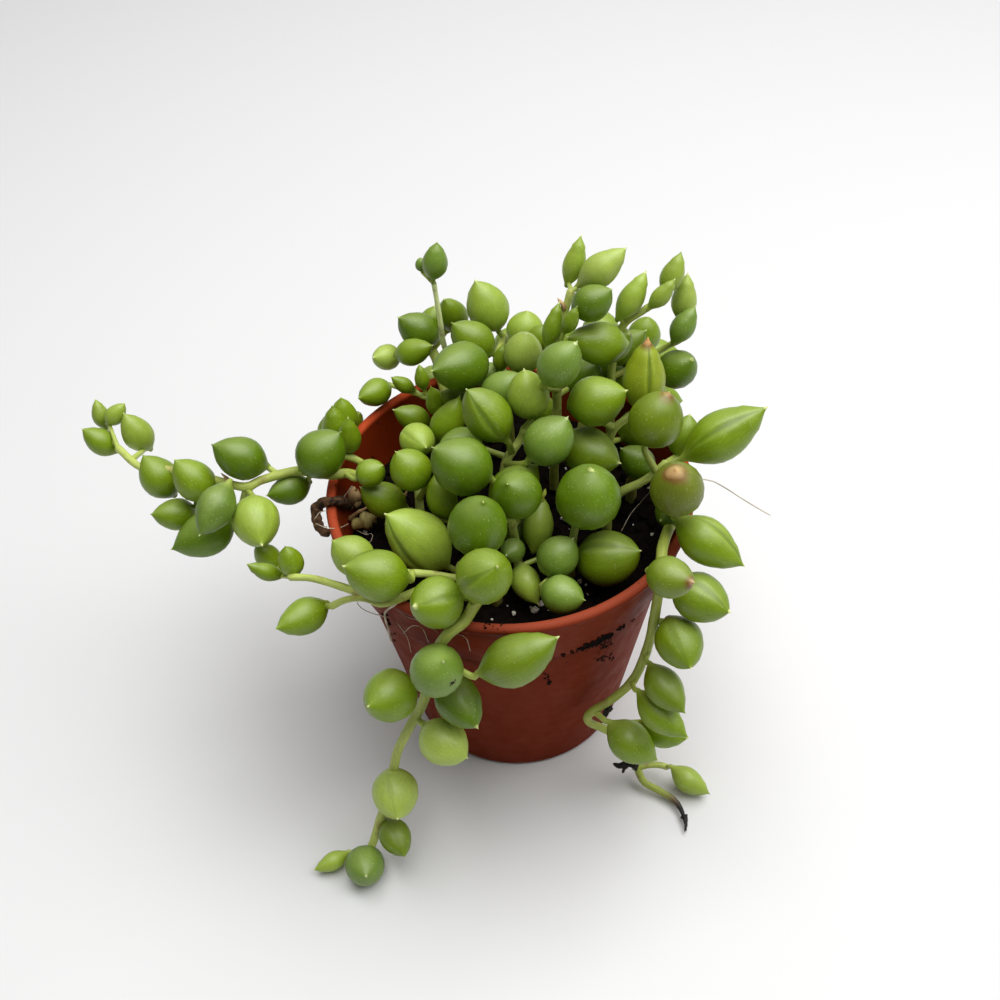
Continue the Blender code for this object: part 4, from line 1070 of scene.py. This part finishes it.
def add_dried():
    """What has dried on the plant and the soil, a curl of bark over the rim, and one young bract."""
    add_threads("dead_stem_ends", [
        ([(684, 816, 1.2), (686, 822, 1.1), (685, 831, 0.9)], 1.1, 0.2),
        ([(637, 765, 4.6), (629, 764, 4.4), (620, 766, 4), (614, 764, 4.2)], 1.9, 0.5),
        ([(626, 765, 4.3), (624, 769, 3.8), (623, 772, 3.4)], 1.2, 0.4),
        ([(608, 707, 21), (607, 711, 20), (604, 717, 19)], 1.3, 0.5),
    ], grit("stem end, dead and black"))
    add_threads("dried_bracts", [
        ([(565, 309, 74.5), (562, 304, 75.5), (558, 299, 76)], 1.0, 0.2),
        ([(229, 484, 53), (226, 478, 53.6), (222, 474, 54)], 1.1, 0.2),
        ([(350, 519, 43.5), (357, 513, 45), (366, 508, 46)], 0.8, 0.4),
        ([(399, 501, 46), (404, 497, 47), (407, 491, 48)], 1.1, 0.3),
        ([(349, 493, 44), (354, 497, 44.5), (360, 496, 44.5)], 2.3, 1.4),
        ([(354, 502, 43.5), (359, 505, 43.5)], 1.4, 0.9),
    ], grit("bract, dry and papery"))
    add_threads("shed_leaf", [
        ([(354, 524, 43.2), (361, 523, 43.6), (369, 519, 44), (375, 517, 44.2)], 2.2, 2.6),
    ], grit("leaf, shed and shrivelled"))
    add_threads("bark_curl", [
        ([(349, 507, 43), (342, 502, 48), (334, 501, 50.9), (324, 502, 50.6), (317, 507, 49.5),
          (316, 516, 48.5), (319, 526, 47.5), (324, 532, 47), (329, 533, 47)], 1.5, 1.5),
    ], grit("bark, dark and crumbling"))
    add_threads("young_bract", [
        ([(533, 511, 50), (538, 504, 52), (543, 497, 54), (545, 490, 55)], 1.5, 0.4),
    ], grit("bract, living and yellow-green"))


def add_roots(material):
    """Fine dry roots and air roots, each a thin thread along a route."""
    on_side = (
        ((400, 612), (410, 618), (424, 622), (436, 631)), ((404, 633), (412, 626), (422, 628), (428, 641)),
        ((448, 640), (456, 634), (466, 638), (470, 650)), ((398, 624), (407, 637), (411, 652)),
    )
    add_threads("fine_roots", [
        *(([on_pot(x, y, 0.1) for x, y in route], 0.1, 0.1) for route in on_side),
        ([(340, 502, 50), (346, 494, 47), (352, 486, 45)], 0.12, 0.12),
        ([(316, 517, 49.6), (320, 512, 50.4), (324, 511, 50.8)], 0.14, 0.14),
        ([(317, 524, 49), (327, 528, 50.6), (339, 528, 49), (348, 524, 45)], 0.14, 0.14),
        ([(358, 531, 42.6), (367, 535, 42.8), (373, 533, 43.2), (371, 541, 42.8), (367, 544, 42.5)], 0.1, 0.1),
        ([(697, 479, 57), (712, 481, 56), (727, 489, 54.5), (741, 498, 53), (754, 506, 52), (768, 514, 51)],
         0.16, 0.16),
        ([(650, 492, 50), (640, 503, 46.5), (630, 515, 44), (622, 530, 42.6)], 0.16, 0.16),
        ([(380, 604, 49.5), (367, 597, 47), (357, 602, 45.5), (366, 611, 44), (386, 617, 43)], 0.12, 0.12),
        ([(396, 604, 50.5), (385, 613, 46), (388, 628, 41), (391, 641, 36)], 0.34, 0.34),
    ], material, 0.8, 6, 0)


def add_loose_soil(dirt, white, draw):
    """Crumbs of soil and bits of perlite that lie on the soil."""
    crumbs, bits = [], []
    reach = wall_radius(SOIL_TOP) - WALL / 2 - 0.8
    for lot, (count, least, more, rarity, clear) in ((crumbs, STREWN_CRUMBS), (bits, STREWN_PERLITE)):
        for _ in range(count):
            turn, out = draw.uniform(0, math.tau), reach * math.sqrt(draw.random())
            x, y, size = out * math.cos(turn), out * math.sin(turn), least + more * draw.random() ** rarity
            lot.append((at(x, y, soil_height(x, y) + clear * size), size))
    for x, y, size in PERLITE_SEEN:
        spot = seen(x, y, SOIL_TOP)
        bits.append((at(spot.x, spot.y, soil_height(spot.x, spot.y) + 0.3 * size), size))
    for (x0, y0), (x1, y1), spread, count, size in DIRT_ON_POT:
        for _ in range(count):
            way = draw.random()
            x, y = x0 + (x1 - x0) * way + draw.gauss(0, spread), y0 + (y1 - y0) * way + draw.gauss(0, spread)
            for _ in range(GRAINS_IN_CLOD):
                place = on_pot(x + draw.gauss(0, 0.9), y + draw.gauss(0, 0.7), -0.05)
                if place.z > 1:
                    crumbs.append((place, size * draw.uniform(0.2, 0.7)))
    for _ in range(RIM_CRUMBS):
        turn = math.radians(draw.gauss(259, 6))
        place = at(math.cos(turn), math.sin(turn), 0) * (RIM_RADIUS - LIP_RADIUS + draw.uniform(-0.6, 0.5))
        crumbs.append((place + at(0, 0, POT_HEIGHT - 0.1), draw.uniform(0.15, 0.5)))
    add_lumps("soil_crumbs", crumbs, dirt, draw)
    add_lumps("perlite", bits, white, draw)


def add_scabs(stems, draw):
    """Small scabs and scars on the leaves that the given pixels show."""
    dark, tan = [], []
    for lot, x, y, size in (
        (dark, 453, 682, 0.9), (dark, 451, 685, 0.6), (dark, 455, 680, 0.5), (tan, 729, 554, 0.6),
        (tan, 732, 558, 0.4), (tan, 397, 490, 0.5), (tan, 401, 494, 0.6), (tan, 399, 498, 0.4),
        (tan, 404, 490, 0.4), (tan, 395, 486, 0.35),
    ):
        hit = [one for stem in stems for one in stem.leaves if one.aside(x, y) < one.width * 0.48]
        if hit:
            front = min(hit, key=lambda one: (one.middle - EYE).length)
            place = front.skin_at(x, y)
            lot.append((place + (front.middle - place).normalized() * size * 0.25, size))
    add_lumps("leaf_scabs", dark, grit("scab on a leaf, nearly black"), draw)
    add_lumps("leaf_scars", tan, grit("corky scar on a leaf"), draw)


def add_floor():
    # A sheet of paper: white, flat and matt.
    bm = bmesh.new()
    bmesh.ops.create_grid(bm, x_segments=1, y_segments=1, size=FLOOR_REACH_M)
    material = blank("paper floor, matt white", Roughness=0.9, Base_Color=colour("#E0E0E0"))[0]
    add_mesh("floor", bm, [material])


def add_lamp(name, place, aim, width, power):
    """A square soft light, placed and aimed in metres."""
    data = bpy.data.lights.new(name, "AREA")
    data.size = width
    data.energy = power
    lamp = add_object(name, data)
    lamp.location = place
    lamp.rotation_euler = (Vector(aim) - Vector(place)).to_track_quat("-Z", "Y").to_euler()


def add_camera():
    data = bpy.data.cameras.new("camera")
    data.sensor_width = SENSOR_MM
    data.lens = FOCAL_PX * SENSOR_MM / (2 * MIDDLE_PX)
    data.clip_start = 0.005
    camera = add_object("camera", data)
    columns = (RIGHT, UP, -FORWARD, EYE * MM)
    camera.matrix_world = Matrix([[column[row] for column in columns] for row in range(3)] + [[0, 0, 0, 1]])
    bpy.context.scene.camera = camera


def add_studio():
    """A pale floor under soft light, mostly from above."""
    scene = bpy.context.scene
    scene.view_settings.view_transform = "Standard"
    world = bpy.data.worlds.new("studio")
    world.use_nodes = True
    feed(world.node_tree.nodes["Background"], {"Color": colour("#FFFFFF"), "Strength": 0.16})
    scene.world = world
    add_floor()
    add_lamp("key", (0.1, 0.03, 0.6), (0, 0, 0.04), 0.6, 5.3)
    add_lamp("side", (0.42, -0.08, 0.36), (0, 0, 0.04), 0.4, 0.5)


def main():
    draw = random.Random(FORM_SEED)
    add_camera()
    add_studio()
    leafy = [leaf_skin(), stem_skin()]
    dirt = peat()
    stems = plant()
    settle(stems)
    add_pot(pot_plastic())
    add_soil(dirt)
    for stem in stems:
        add_stem(stem, leafy)
    add_loose_soil(dirt, grit("perlite, expanded volcanic glass"), draw)
    add_roots(grit("root, fine and dry"))
    add_dried()
    add_scabs(stems, draw)


main()
